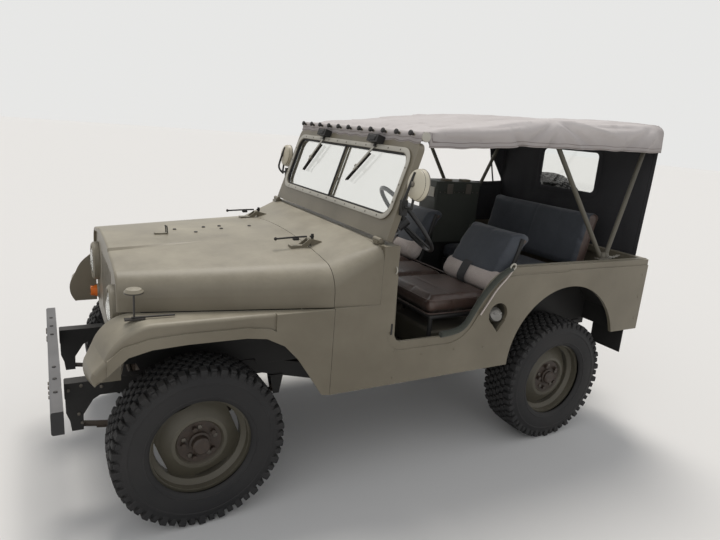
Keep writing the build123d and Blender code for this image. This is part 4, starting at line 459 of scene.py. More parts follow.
for corner in tyres:
    low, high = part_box(f"tyre_{corner}")
    across = (0.0, 1.0, 1.0) if corner == "spare" else (1.0, 0.0, 1.0)
    paint_nodes(wheel_paint(corner, (low + high) / 2, across), f"wheel_{corner}")


# Wheel nuts: five plated hexagon nuts, bevelled at their outer ends, on the studs of each road
# wheel. The same helper makes every bolt, screw and rivet of the car.
def fasteners(name, places, facing, radius, height, sides, material):
    """One bolt, nut or screw head, copied to each place; facing points outward."""
    head = begun(
        name, bpy.ops.mesh.primitive_cylinder_add, vertices=sides, radius=radius, depth=height
    )
    bpy.ops.object.mode_set(mode="EDIT")
    bpy.ops.mesh.select_all(action="DESELECT")
    bpy.ops.object.mode_set(mode="OBJECT")
    for face in head.data.polygons:
        face.select = face.normal.z > 0.9
    bpy.ops.object.mode_set(mode="EDIT")
    bpy.ops.mesh.bevel(offset=radius * 0.22, segments=2, affect="EDGES")
    bpy.ops.object.mode_set(mode="OBJECT")
    turn = Vector(facing).to_track_quat("Z", "Y").to_matrix().to_4x4()
    copies = [copy_of(head, name, Matrix.Translation(place) @ turn) for place in places]
    bpy.data.objects.remove(head)
    whole = coated(joined(copies, name), material)
    bpy.ops.object.shade_smooth_by_angle(angle=math.radians(35))
    return whole


def on_both_sides(name, places, facing, radius, height, sides, material):
    """The left side's fasteners, and the same mirrored on the right."""
    halves = [
        fasteners(name, [(x, side * y, z) for x, y, z in places],
                  (facing[0], side * facing[1], facing[2]), radius, height, sides, material)
        for side in (1, -1)
    ]
    return joined(halves, name)


worn_steel = painted(
    "worn_steel", (0.080, 0.072, 0.062, 1), (0.150, 0.135, 0.115, 1), 0.42,
    dust=0.4, wear=0.6, wear_colour=(0.36, 0.34, 0.31, 1), metallic=0.55, edge=0.002,
)
stud_count, stud_circle, nut_out = 5, 0.06985, 0.031
for corner, side in (("front_left", 1), ("front_right", -1), ("rear_left", 1), ("rear_right", -1)):
    low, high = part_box(f"tyre_{corner}")
    places = []
    for n in range(stud_count):
        angle = math.tau * n / stud_count + math.radians(18)
        places.append((low + high) / 2 + Vector(
            (stud_circle * math.cos(angle), side * nut_out, stud_circle * math.sin(angle))
        ))
    nuts = fasteners(f"wheel_{corner}_nuts", places, (0, side, 0), 0.0115, 0.020, 6, worn_steel)
    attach(nuts, f"wheel_{corner}")


# Headlamps: an olive ring on the front panel holds a fluted glass over a bright spun reflector and
# a small bulb. The turn lamps below are orange plastic.
def banded(tree, vector, scale, direction, crooked=0.0):
    """Even parallel waves of grey, crooked if asked."""
    node = add_node(
        tree, "ShaderNodeTexWave",
        {"Vector": vector, "Scale": scale, "Distortion": crooked, "Detail": 1.0,
         "Detail Scale": 0.4},
        bands_direction=direction, wave_profile="SIN",
    )
    return node.outputs["Fac"]


bright_metal, tree, shader = new_material("bright_metal")
haze = clouded(tree, 30.0, 4.0)
set_inputs(tree, shader, {
    "Base Color": mixed(tree, haze, (0.80, 0.80, 0.78, 1), (0.62, 0.61, 0.58, 1)),
    "Metallic": 1.0, "Roughness": 0.16,
})

lamp_glass, tree, shader = new_material("lamp_glass")
flutes = banded(tree, object_place(tree), 36.0, "Y")
film = clouded(tree, 25.0, 3.0, object_place(tree))
set_inputs(tree, shader, {
    "Base Color": mixed(tree, film, (0.96, 0.97, 0.95, 1), (0.86, 0.87, 0.83, 1)),
    "Roughness": 0.04, "IOR": 1.47, "Transmission Weight": 1.0,
    "Normal": bumped(tree, flutes, 0.35, 0.002),
})
paint_nodes(lamp_glass, "headlamp_lenses")

lamp_face_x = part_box("grille_panel")[1].x
lamp_y, lamp_z = 0.425, 0.915
bowl = [(0.006, 0.082), (-0.012, 0.076), (-0.036, 0.060), (-0.056, 0.036), (-0.064, 0.012),
        (-0.064, 0.0), (-0.067, 0.0), (-0.067, 0.013), (-0.059, 0.040), (-0.038, 0.063),
        (-0.013, 0.079), (0.005, 0.084)]
reflectors = []
for side in (1, -1):
    centre = (lamp_face_x, side * lamp_y, lamp_z)
    dish = turned("headlamp_reflector", [(x, 0, r) for x, r in bowl], centre, (1, 0, 0), 48)
    bulb = turned(
        "headlamp_bulb",
        [(-0.062, 0, 0.0), (-0.062, 0, 0.009), (-0.040, 0, 0.009), (-0.034, 0, 0.013),
         (-0.024, 0, 0.012), (-0.016, 0, 0.006), (-0.014, 0, 0.0)],
        centre, (1, 0, 0), 20,
    )
    reflectors += [dish, bulb]
reflector = coated(joined(reflectors, "headlamp_reflectors"), bright_metal)
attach(reflector, "car")


def lens_plastic(name, bright, deep, roughness):
    """Coloured lamp plastic with moulded rings."""
    material, tree, shader = new_material(name)
    rings = banded(tree, object_place(tree), 60.0, "Z")
    set_inputs(tree, shader, {
        "Base Color": mixed(tree, rings, bright, deep), "Roughness": roughness,
        "Coat Weight": 0.4, "Normal": bumped(tree, rings, 0.35, 0.001),
    })
    return material


orange_lens = lens_plastic("orange_lens", (0.80, 0.20, 0.02, 1), (0.62, 0.13, 0.015, 1), 0.22)
paint_nodes(orange_lens, "turn_lamps")

turn_low, turn_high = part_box("turn_lamps")
turn_radius = (turn_high.z - turn_low.z) / 2
turn_ring_section = [
    (0.0005, 0, turn_radius + 0.0005), (0.012, 0, turn_radius + 0.0005),
    (0.012, 0, turn_radius + 0.003), (0.006, 0, turn_radius + 0.007),
    (0.0005, 0, turn_radius + 0.008), (0.0005, 0, turn_radius + 0.0005),
]
turn_rings = []
for side in (1, -1):
    centre = (turn_low.x, side * (turn_high.y - turn_radius), (turn_high.z + turn_low.z) / 2)
    turn_rings.append(turned("turn_lamp_ring", turn_ring_section, centre, (1, 0, 0), 36))
turn_ring = coated(joined(turn_rings, "turn_lamp_rings"), olive_paint)
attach(turn_ring, "car")


# Front bumper and frame: a pressed channel and box rails in black chassis paint, the bumper grey,
# its end faces painted near black as shade and its edges worn pale, partly bare steel and partly a
# painted highlight. Bolts hold its face, its flange and the gusset plates. The marker post on the
# fender has a dark stem under an olive hat.
black_paint = painted(
    "black_paint", (0.014, 0.014, 0.014, 1), (0.026, 0.025, 0.024, 1), 0.46,
    dust=0.35, wear=0.55, wear_colour=(0.12, 0.11, 0.10, 1), dust_colour=(0.11, 0.10, 0.09, 1),
    specular=0.25,
)
# Painted highlight: the bumper's edges wear to pale grey over a wide band, partly bare worn steel
# and partly the sun's glint on the flange edge.
bumper_paint = painted(
    "bumper_paint", (0.060, 0.060, 0.063, 1), (0.130, 0.130, 0.134, 1), 0.42,
    dust=0.35, wear=0.9, wear_colour=(0.42, 0.41, 0.40, 1), dust_colour=(0.24, 0.23, 0.22, 1),
    edge=0.006,
)
# Painted shade: the faces turned across the car, which are the bumper's end faces, are made near
# black.
tree = bumper_paint.node_tree
facing = add_node(tree, "ShaderNodeTexCoord").outputs["Normal"]
sides = add_node(tree, "ShaderNodeSeparateXYZ", {"Vector": facing})
painted_end_shade = reckoned(tree, "ABSOLUTE", sides.outputs["Y"])
paint_over(tree, ranged(tree, painted_end_shade, (0.6, 0.8)), (0.016, 0.016, 0.017, 1))
paint_nodes(
    black_paint, "frame_rails", "frame_crossmembers", "rear_bumperettes", "control_levers",
    "fender_aprons", "seat_frames", "steering_column", "wheelhouses",
)
paint_nodes(bumper_paint, "front_bumper")
post_paint = painted(
    "post_paint", (0.122, 0.104, 0.072, 1), (0.166, 0.144, 0.104, 1), 0.36, dust=0.5,
    dust_colour=(0.50, 0.46, 0.36, 1),
)
tree = post_paint.node_tree
spot = add_node(tree, "ShaderNodeSeparateXYZ", {"Vector": object_place(tree)})
below_hat = ranged(tree, spot.outputs["Z"], (1.051, 1.049))
paint_over(tree, below_hat, (0.030, 0.027, 0.024, 1))
paint_nodes(post_paint, "marker_post")

bumper_low, bumper_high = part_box("front_bumper")
bumper_z = (bumper_low.z + bumper_high.z) / 2
face_bolts = [
    (bumper_high.x, side * y, bumper_z + up)
    for side in (1, -1) for y in (0.318, 0.362) for up in (-0.022, 0.022)
]
flange_bolts = [
    (bumper_low.x + 0.024, side * y, bumper_high.z)
    for side in (1, -1) for y in (0.209, 0.335, 0.468)
]
bumper_bolts = joined(
    [fasteners("bumper_bolts", face_bolts, (1, 0, 0), 0.0085, 0.010, 6, worn_steel),
     fasteners("bumper_bolts", flange_bolts, (0, 0, 1), 0.0095, 0.007, 6, black_paint)],
    "bumper_bolts",
)
plate_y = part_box("frame_rails")[1].y + 0.002
plate_bolts = [
    (x, plate_y, z) for x, z in (
        (1.690, 0.545), (1.640, 0.560), (1.560, 0.545), (1.652, 0.430), (1.640, 0.386)
    )
]
gusset_bolts = on_both_sides("gusset_bolts", plate_bolts, (0, 1, 0), 0.008, 0.008, 6, worn_steel)
for bolts in (bumper_bolts, gusset_bolts):
    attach(bolts, "car")


# Axles, springs, steering linkage, gearbox and exhaust: cast iron and steel, oily, rusty and dusty
# underneath. The block of the engine carries the radiator's finned core, seen through the slots.
iron = painted(
    "oily_iron", (0.028, 0.024, 0.021, 1), (0.075, 0.052, 0.036, 1), 0.55,
    dust=0.5, wear=0.35, wear_colour=(0.16, 0.12, 0.09, 1), dust_colour=(0.14, 0.12, 0.10, 1),
    metallic=0.25, grain=120.0, bump=0.25, specular=0.25,
)
paint_nodes(
    iron, "front_axle", "rear_axle", "leaf_springs", "driveline", "exhaust", "knuckle_left",
    "knuckle_right", "tie_rod", "drag_link", "pitman_arm",
)
core_paint, tree, shader = new_material("radiator_core")
fins = banded(tree, object_place(tree), 110.0, "Z")
tubes = banded(tree, object_place(tree), 32.0, "Y")
weave = reckoned(tree, "MAXIMUM", fins, tubes)
set_inputs(tree, shader, {
    "Base Color": mixed(tree, weave, (0.008, 0.008, 0.008, 1), (0.050, 0.046, 0.040, 1)),
    "Roughness": 0.6, "Normal": bumped(tree, weave, 0.5, 0.003),
})
paint_nodes(core_paint, "engine_block")


# Hood fittings: two dark rods lie forward from the strap hinges, each with a knob at its front
# end; small rubber stops and a two-pin windscreen rest are bolted along the middle.
def bent_rod(name, points, radius, material, order=3):
    """A round bar, pipe or cable along a smooth path, capped and made a mesh."""
    bar = begun(name, bpy.ops.curve.primitive_nurbs_path_add)
    bar.data.splines.remove(bar.data.splines[0])
    path = bar.data.splines.new("NURBS")
    path.points.add(len(points) - 1)
    for point, (x, y, z) in zip(path.points, points):
        point.co = (x, y, z, 1)
    path.order_u = min(order, len(points))
    path.use_endpoint_u = True
    path.resolution_u = 10
    bar.data.bevel_depth = radius
    bar.data.bevel_resolution = 4
    bar.data.use_fill_caps = True
    bpy.ops.object.convert(target="MESH")
    bar = coated(joined([bpy.context.object], name), material)
    bpy.ops.object.shade_smooth_by_angle(angle=math.radians(45))
    return bar


hinge_y, hinge_z = 0.400, 1.197
rod_radius, rod_spread, rod_end_z = 0.0045, 0.004, 1.190
hinge_rods, hinge_tails = [], []
for side in (1, -1):
    y = side * hinge_y
    front_y = y + side * rod_spread
    rod = bent_rod(
        "hood_hinge_rod", [(0.645, y, hinge_z), (0.700, y, 1.196), (0.800, front_y, rod_end_z)],
        rod_radius, black_paint,
    )
    knob = turned(
        "hood_hinge_knob",
        [(0.0, 0, 0.0), (0.001, 0, 0.006), (0.006, 0, 0.009), (0.012, 0, 0.006), (0.014, 0, 0.0)],
        (0.797, front_y, rod_end_z), (1, 0, 0), 16,
    )
    clip = block("hood_hinge_clip", (0.030, 0.018, 0.012), (0.700, y, 1.186), 0.003)
    tail = block("hood_hinge_tail", (0.014, 0.008, 0.026), (0.616, y, hinge_z), 0.002)
    stub = bent_rod(
        "hood_hinge_tail", [(0.608, y, hinge_z), (0.628, y, hinge_z)], rod_radius, black_paint, 2
    )
    hinge_rods += [rod, coated(knob, black_paint), coated(clip, black_paint)]
    hinge_tails += [coated(tail, black_paint), stub]
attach(joined(hinge_rods, "hood_hinge_rods"), "hood")
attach(joined(hinge_tails, "hood_hinge_tails"), "car")

rest_base = block("screen_rest_base", (0.064, 0.034, 0.006), (1.250, 0.030, 1.1525), 0.0025)
rest_parts = [coated(rest_base, olive_paint)]
for x, y in ((1.226, 0.024), (1.222, 0.042)):
    rest_parts.append(bent_rod(
        "screen_rest_pin", [(x, y, 1.152), (x, y, 1.178), (x + 0.004, y, 1.190)], 0.0028,
        black_paint,
    ))
stop_section = [
    (0, 0, -0.004), (0, 0.009, -0.004), (0, 0.009, 0.003), (0, 0.005, 0.005), (0, 0, 0.0055)
]
for stop_place in (
    (1.169, -0.060, 1.1505), (1.083, 0.027, 1.1523), (1.017, -0.090, 1.1545),
    (0.934, -0.094, 1.1582), (0.942, -0.022, 1.1582), (0.784, -0.051, 1.1652),
):
    stop = turned("hood_stop", stop_section, stop_place, (0, 0, 1), 18)
    rest_parts.append(coated(stop, black_paint))
rest = joined(rest_parts, "screen_rest")
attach(rest, "hood")


# Windscreen: a pale worn inner rim with screws holds two clear panes against black rubber. The
# olive frame leans back, with a dark knob on each lacing hook of the tube along its top.
screen_foot, screen_rake = Vector((0.370, 0.0, 1.225)), math.radians(18.1)
pane_half, pane_low, pane_high = 0.640, 0.112, 0.412
rim_width, rim_face, tube_up, tube_half = 0.024, 0.024, 0.502, 0.688
hook_count = 11
hook_pitch = 2 * tube_half / hook_count
screen_lean = Matrix.Translation(screen_foot) @ Matrix.Rotation(-screen_rake, 4, "Y")


def on_screen(across, up, out):
    return tuple(screen_lean @ Vector((out, across, up)))


rim_paint = painted(
    "rim_paint", (0.36, 0.34, 0.29, 1), (0.46, 0.44, 0.38, 1), 0.40,
    dust=0.3, wear=0.55, wear_colour=(0.50, 0.49, 0.46, 1),
)
rubber = painted(
    "black_rubber", (0.012, 0.012, 0.012, 1), (0.022, 0.021, 0.020, 1), 0.62,
    dust=0.3, wear=0.1, wear_colour=(0.05, 0.05, 0.05, 1), dust_colour=(0.14, 0.13, 0.12, 1),
    specular=0.25,
)


def rounded_frame(name, half, low, high, width, corner, out, depth, bevel, material, place):
    """A flat frame with rounded corners, standing out by its depth, in (out, across, up)."""
    frame_piece = begun(name, bpy.ops.mesh.primitive_plane_add, size=1)
    middle = (low + high) / 2
    frame_piece.data.transform(
        Matrix.Diagonal((2 * (half + width), high - low + 2 * width, 1, 1))
    )
    bpy.ops.object.mode_set(mode="EDIT")
    bpy.ops.mesh.select_all(action="SELECT")
    bpy.ops.mesh.bevel(offset=corner + width, segments=8, affect="VERTICES")
    bpy.ops.mesh.select_all(action="SELECT")
    bpy.ops.mesh.inset(thickness=width, depth=0)
    bpy.ops.mesh.delete(type="FACE")
    bpy.ops.mesh.select_all(action="SELECT")
    bpy.ops.mesh.normals_make_consistent(inside=False)
    bpy.ops.object.mode_set(mode="OBJECT")
    thick = frame_piece.modifiers.new("thick", "SOLIDIFY")
    thick.thickness, thick.offset = depth, 1.0
    bpy.ops.object.modifier_apply(modifier="thick")
    soft = frame_piece.modifiers.new("soft", "BEVEL")
    soft.width, soft.segments, soft.limit_method = bevel, 2, "ANGLE"
    bpy.ops.object.modifier_apply(modifier="soft")
    upright = Matrix(((0, 0, 1, out), (1, 0, 0, 0), (0, 1, 0, middle), (0, 0, 0, 1)))
    frame_piece.data.transform(place @ upright)
    bpy.ops.object.mode_set(mode="EDIT")
    bpy.ops.mesh.select_all(action="SELECT")
    bpy.ops.mesh.normals_make_consistent(inside=False)
    bpy.ops.object.mode_set(mode="OBJECT")
    bpy.ops.object.shade_smooth_by_angle(angle=math.radians(35))
    return coated(frame_piece, material)


pane_corner = 0.050
pale_rim = rounded_frame(
    "windscreen_rim", pane_half + 0.001, pane_low - 0.001, pane_high + 0.001, rim_width,
    pane_corner, rim_face - 0.002, 0.0045, 0.002, rim_paint, screen_lean,
)
gasket = rounded_frame(
    "windscreen_gasket", pane_half - 0.009, pane_low + 0.009, pane_high - 0.009, 0.0115,
    pane_corner - 0.009, 0.004, 0.016, 0.003, rubber, screen_lean,
)
divider = block("windscreen_divider", (0.008, 0.012, pane_high - pane_low), (0, 0, 0), 0.002)
divider.data.transform(screen_lean @ Matrix.Translation((0.019, 0, (pane_low + pane_high) / 2)))
coated(divider, rubber)
screw_out = rim_face + 0.002
rim_y, rim_low, rim_high = (
    pane_half + rim_width / 2, pane_low - rim_width / 2, pane_high + rim_width / 2
)
screw_places = []
for n in range(11):
    y = -0.560 + 0.112 * n
    screw_places += [on_screen(y, up, screw_out) for up in (rim_low, rim_high)]
for up in (0.180, 0.262, 0.344):
    screw_places += [on_screen(side * rim_y, up, screw_out) for side in (1, -1)]
screen_facing = screen_lean.to_3x3() @ Vector((1, 0, 0))
rim_screws = fasteners(
    "windscreen_screws", screw_places, screen_facing, 0.0048, 0.004, 12, worn_steel
)
knob_section = [
    (-0.012, 0, 0.0070), (0.0, 0, 0.0070), (0.001, 0, 0.0128), (0.008, 0, 0.0134),
    (0.0115, 0, 0.0105), (0.013, 0, 0.0),
]
knobs = []
for n in range(hook_count):
    knob = turned("lacing_knob", knob_section, (0, 0, 0), (1, 0, 0), 20)
    y = (n - hook_count // 2) * hook_pitch
    knob.data.transform(screen_lean @ Matrix.Translation((0.0425, y, tube_up)))
    knobs.append(knob)
lacing_knobs = coated(joined(knobs, "lacing_knobs"), black_paint)
end_section = [(-0.004, 0.0), (-0.004, 0.0225), (0.002, 0.0225), (0.005, 0.018), (0.006, 0.0)]
tube_axis = Vector(on_screen(0, tube_up, 0))
tube_ends = []
for side in (1, -1):
    tube_ends.append(turned(
        "lacing_tube_end", [(0, side * out, radius) for out, radius in end_section],
        (tube_axis.x, side * 0.690, tube_axis.z), (0, 1, 0), 28,
    ))
tube_ends = coated(joined(tube_ends, "lacing_tube_ends"), rim_paint)
for piece in (pale_rim, gasket, divider, rim_screws, lacing_knobs, tube_ends):
    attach(piece, "car")

clear_glass, tree, shader = new_material("clear_glass")
smear = clouded(tree, 5.0, 6.0, object_place(tree), 0.7)
set_inputs(tree, shader, {
    "Base Color": mixed(tree, smear, (0.95, 0.97, 0.96, 1), (0.88, 0.90, 0.88, 1)),
    "Roughness": ranged(tree, smear, (0.0, 1.0), (0.01, 0.07)),
    "Transmission Weight": 1.0, "IOR": 1.45,
})
rays = add_node(tree, "ShaderNodeLightPath").outputs
clear = add_node(tree, "ShaderNodeBsdfTransparent", {"Color": (0.92, 0.94, 0.93, 1)})
either = add_node(
    tree, "ShaderNodeMixShader",
    {"Fac": rays["Is Shadow Ray"], 1: shader.outputs["BSDF"], 2: clear.outputs["BSDF"]},
)
set_inputs(tree, tree.nodes["Material Output"], {"Surface": either.outputs["Shader"]})
paint_nodes(clear_glass, "windscreen_glass")


# Wipers and mirrors: black motors at the head of the panes, each with a pressed arm and a rubber
# blade; round mirrors with cream backs and silvered faces on bent stalks.
paint_nodes(black_paint, "wipers")
head_up, foot_up, blade_length = pane_high + 0.006, pane_low + 0.110, 0.215
wiper_parts = []
for across, foot in ((-0.288, -0.430), (0.323, 0.150)):
    run = Vector((0, foot - across, foot_up - head_up))
    down = run.normalized()
    beside = down.cross(Vector((1, 0, 0)))
    turn = Matrix(((1, 0, 0), (0, beside.y, down.y), (0, beside.z, down.z))).to_4x4()
    for name, size, out, share, off, bevel, material in (
        ("wiper_blade", (0.012, 0.0035, blade_length), 0.012, 0.62, 0.016, 0.001, rubber),
        ("wiper_spine", (0.006, 0.010, blade_length), 0.020, 0.62, 0.016, 0.001, worn_steel),
        ("wiper_arm", (0.005, 0.013, run.length * 0.72), 0.036, 0.34, 0.0, 0.0015, rim_paint),
        ("wiper_clip", (0.016, 0.030, 0.018), 0.028, 0.62, 0.008, 0.003, worn_steel),
    ):
        piece = block(name, size, (0, 0, 0), bevel)
        centre = Vector((out, across, head_up)) + run * share + beside * off
        piece.data.transform(screen_lean @ Matrix.Translation(centre) @ turn)
        wiper_parts.append(coated(piece, material))
    cap = block("wiper_motor_cap", (0.006, 0.060, 0.026), (0, 0, 0), 0.003)
    cap.data.transform(screen_lean @ Matrix.Translation((0.0625, across, pane_high + 0.045)))
    wiper_parts.append(coated(cap, black_paint))
wiper_set = joined(wiper_parts, "wiper_blades")
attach(wiper_set, "car")

cream_paint = painted(
    "cream_paint", (0.50, 0.45, 0.34, 1), (0.56, 0.52, 0.42, 1), 0.34,
    dust=0.35, wear=0.35, wear_colour=(0.22, 0.17, 0.11, 1),
)
mirror_glass, tree, shader = new_material("mirror_glass")
set_inputs(tree, shader, {
    "Base Color": (0.80, 0.82, 0.82, 1), "Metallic": 1.0, "Roughness": 0.03,
})
paint_nodes(black_paint, "mirrors")
mirror_parts = (
    ("mirror_back", [(0.0705, -0.0105), (0.0705, 0.002), (0.066, 0.0135), (0.054, 0.0215),
                     (0.036, 0.0265), (0.018, 0.0285), (0.0, 0.029)], 48, cream_paint),
    ("mirror_lip", [(0.0705, -0.0105), (0.0725, -0.0125), (0.0715, -0.0150), (0.067, -0.0150),
                    (0.065, -0.0125)], 48, worn_steel),
    ("mirror_face", [(0.067, -0.0120), (0.034, -0.0128), (0.0, -0.0130)], 48, mirror_glass),
    ("mirror_boss", [(0.013, 0.022), (0.013, 0.034), (0.009, 0.0375), (0.0, 0.038)], 20,
     worn_steel),
)
strap_line = [
    (0.318, 0.781, 1.552), (0.337, 0.781, 1.500), (0.350, 0.780, 1.455),
    (0.360, 0.774, 1.425), (0.352, 0.758, 1.398), (0.336, 0.742, 1.384),
]
mirror_shells = []
for side in (1, -1):
    centre = Matrix.Translation((0.300, side * 0.788, 1.498))
    for name, outline, steps, material in mirror_parts:
        piece = turned(name, [(0, r, up) for r, up in outline], (0, 0, 0), (0, 0, 1), steps)
        piece.data.transform(centre @ Matrix.Rotation(math.radians(84), 4, "Y"))
        mirror_shells.append(coated(piece, material))
    points = [(x, side * y, z) for x, y, z in strap_line]
    mirror_shells.append(bent_rod("mirror_stalk", points, 0.0062, black_paint))
mirror_set = joined(mirror_shells, "mirror_heads")
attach(mirror_set, "car")


# Canvas top: one sheet of pale, weathered duck. It is laced round the tube on the windscreen, runs
# over both hoops and turns down at the rear, with hemmed flaps that hang over the door openings.
weave_group, given, result = shader_group(
    "canvas_weave", [("Vector", "Vector"), ("Threads", "Float")], [("Height", "Float")]
)
warp = banded(weave_group, given["Vector"], given["Threads"], "X", crooked=0.6)
weft = banded(weave_group, given["Vector"], given["Threads"], "Y", crooked=0.6)
over = reckoned(weave_group, "MULTIPLY", warp, weft)
weave_group.links.new(over, result["Height"])


def canvas(name, cloth, worn, stain_and_shade, hem_shade=0.0):
    """Woven duck with weathering; a hem attribute in metres from the edge draws its stitch rows and
    a painted shade that darkens the cloth towards the hem.
    """
    material, tree, shader = new_material(name)
    place = add_node(tree, "ShaderNodeTexCoord").outputs
    weave = {"Vector": place["UV"], "Threads": 90.0}
    woven = add_node(tree, "ShaderNodeGroup", weave, node_tree=weave_group)
    bleach = clouded(tree, 2.6, 8.0, place["Object"], 0.62)
    tone = mixed(tree, ranged(tree, bleach, (0.25, 0.80)), cloth, worn)
    spots = clouded(tree, 9.0, 10.0, place["Object"], 0.72)
    dirty = mixed(tree, ranged(tree, spots, (0.58, 0.78), (0.0, 0.55)), tone, stain_and_shade)
    edge = add_node(tree, "ShaderNodeAttribute", attribute_name="hem").outputs["Fac"]
    rows = []
    for row in (0.006, 0.024):
        gap = reckoned(tree, "ABSOLUTE", reckoned(tree, "SUBTRACT", edge, row))
        rows.append(ranged(tree, gap, (0.0008, 0.0022), (1.0, 0.0)))
    stitch = reckoned(tree, "MAXIMUM", rows[0], rows[1])
    # Painted shade: within 0.13 m of a hem the cloth darkens towards the stain colour.
    hem_shaded = mixed(tree, ranged(tree, edge, (0.0, 0.13), (hem_shade, 0.0)), dirty, stain_and_shade)
    sunk = reckoned(tree, "MULTIPLY", stitch, -1.6)
    height = reckoned(tree, "ADD", woven.outputs["Height"], sunk)
    crumple = clouded(tree, 28.0, 4.0, place["Object"], 0.55)
    set_inputs(tree, shader, {
        "Base Color": mixed(tree, stitch, hem_shaded, stain_and_shade), "Roughness": 0.82,
        "Sheen Weight": 0.15, "Specular IOR Level": 0.15,
        "Normal": bumped(tree, height, 0.35, 0.0008, bumped(tree, crumple, 0.35, 0.004)),
    })
    return material


# The top's hanging flaps are painted darker towards their hems as shade.
pale_canvas = canvas(
    "pale_canvas", (0.480, 0.444, 0.428, 1), (0.620, 0.580, 0.565, 1), (0.190, 0.165, 0.155, 1),
    hem_shade=0.62,
)
# Painted shade: the rear curtain, its corner, side sheet, binding and strap are the roof's kind of
# canvas made near black, as they lie in shade.
shaded_canvas = canvas(
    "shaded_canvas", (0.032, 0.032, 0.035, 1), (0.048, 0.047, 0.050, 1), (0.018, 0.017, 0.017, 1)
)
roof_rows = [
    (0.187, 1.748, 1.655, 0.662, 0.034), (-0.150, 1.795, 1.668, 0.664, 0.050),
    (-0.415, 1.836, 1.690, 0.668, 0.066), (-0.616, 1.851, 1.693, 0.668, 0.066),
    (-1.040, 1.866, 1.701, 0.668, 0.066), (-1.455, 1.886, 1.708, 0.668, 0.066),
]
creases = [
    (-0.500, 0.900, -0.330, 0.690, 0.020, -0.011), (-0.500, 0.900, -0.640, 0.700, 0.022, -0.010),
    (-0.505, 0.900, -0.430, 0.780, 0.012, 0.009), (-0.495, 0.905, -0.560, 0.800, 0.012, 0.008),
    (-0.640, 0.640, -0.980, 0.800, 0.020, -0.008), (-0.640, 0.660, -0.900, 0.860, 0.018, 0.007),
    (-0.650, 0.620, -1.130, 0.720, 0.024, 0.007), (-0.600, 0.650, -0.420, 0.760, 0.018, -0.007),
    (0.150, 0.690, -0.330, 0.745, 0.020, -0.007), (0.170, 0.720, -0.200, 0.790, 0.016, 0.006),
    (-1.430, 0.640, -1.120, 0.820, 0.024, -0.008), (-1.440, 0.680, -1.230, 0.880, 0.020, 0.006),
    (0.180, 0.560, -0.150, 0.420, 0.026, -0.006), (-0.600, 0.560, -0.330, 0.360, 0.030, -0.006),
    (-0.640, 0.520, -0.930, 0.330, 0.030, -0.006), (-1.420, 0.540, -1.160, 0.350, 0.030, -0.006),
    (-0.820, 0.640, -1.300, 0.660, 0.022, -0.005), (-0.100, 0.640, -0.450, 0.655, 0.022, -0.005),
]
ripple_seed = Vector((3.7, 11.3, 5.1))


def crease_depth(x, girth, shift):
    """Sum of the sewn, pulled and hanging folds at a place on the sheet."""
    total = 0.0
    for x0, g0, x1, g1, width, depth in creases:
        x0, x1 = x0 + shift, x1 + shift
        run = Vector((x1 - x0, g1 - g0))
        gap = Vector((x - x0, girth - g0))
        along = gap.dot(run) / run.length_squared
        if -0.1 < along < 1.1:
            off = abs(run.x * gap.y - run.y * gap.x) / run.length
            taper = math.sin(math.pi * min(max(along, 0.03), 0.97)) ** 0.6
            total += 2.5 * depth * taper * math.exp(-(off / (0.85 * width)) ** 2)
    return total


def roof_row(x):
    """Top, flap hem, half width and corner round of the roof, smooth between its stations."""
    for front, rear in zip(roof_rows, roof_rows[1:]):
        if x >= rear[0]:
            share = (front[0] - x) / (front[0] - rear[0])
            return [a + (b - a) * share for a, b in zip(front[1:], rear[1:])]
    return list(roof_rows[-1][1:])


def roof_place(x, across, hem_reach):
    """A place on the roof's section at x; across runs from -1 at one hem to 1 at the other."""
    top, flap, half, bend = roof_row(x)
    side = 1.0 if across >= 0 else -1.0
    shoulder = top - 0.014 - bend
    flat, arc, hang = half - bend, bend * math.pi / 2, shoulder - flap + hem_reach
    girth = abs(across) * (flat + arc + hang)
    if girth < flat:
        share = girth / flat
        place = Vector((x, side * girth, top - 0.014 * share * share))
        normal = Vector((0, side * 0.04 * share, 1)).normalized()
    elif girth < flat + arc:
        angle = (girth - flat) / bend
        place = Vector((x, side * (flat + bend * math.sin(angle)),
                        shoulder + bend * math.cos(angle)))
        normal = Vector((0, side * math.sin(angle), math.cos(angle)))
    else:
        place = Vector((x, side * half, shoulder - (girth - flat - arc)))
        normal = Vector((0, side, 0))
    return place, normal, girth, flat + arc + hang


def cut_away(sheet, doomed):
    """Deletes the numbered vertices of a sheet and turns its faces to one side."""
    bpy.ops.object.mode_set(mode="EDIT")
    bpy.ops.mesh.select_all(action="DESELECT")
    bpy.ops.object.mode_set(mode="OBJECT")
    for vertex in sheet.data.vertices:
        vertex.select = vertex.index in doomed
    bpy.ops.object.mode_set(mode="EDIT")
    bpy.ops.mesh.delete(type="VERT")
    bpy.ops.mesh.select_all(action="SELECT")
    bpy.ops.mesh.normals_make_consistent(inside=False)
    bpy.ops.object.mode_set(mode="OBJECT")


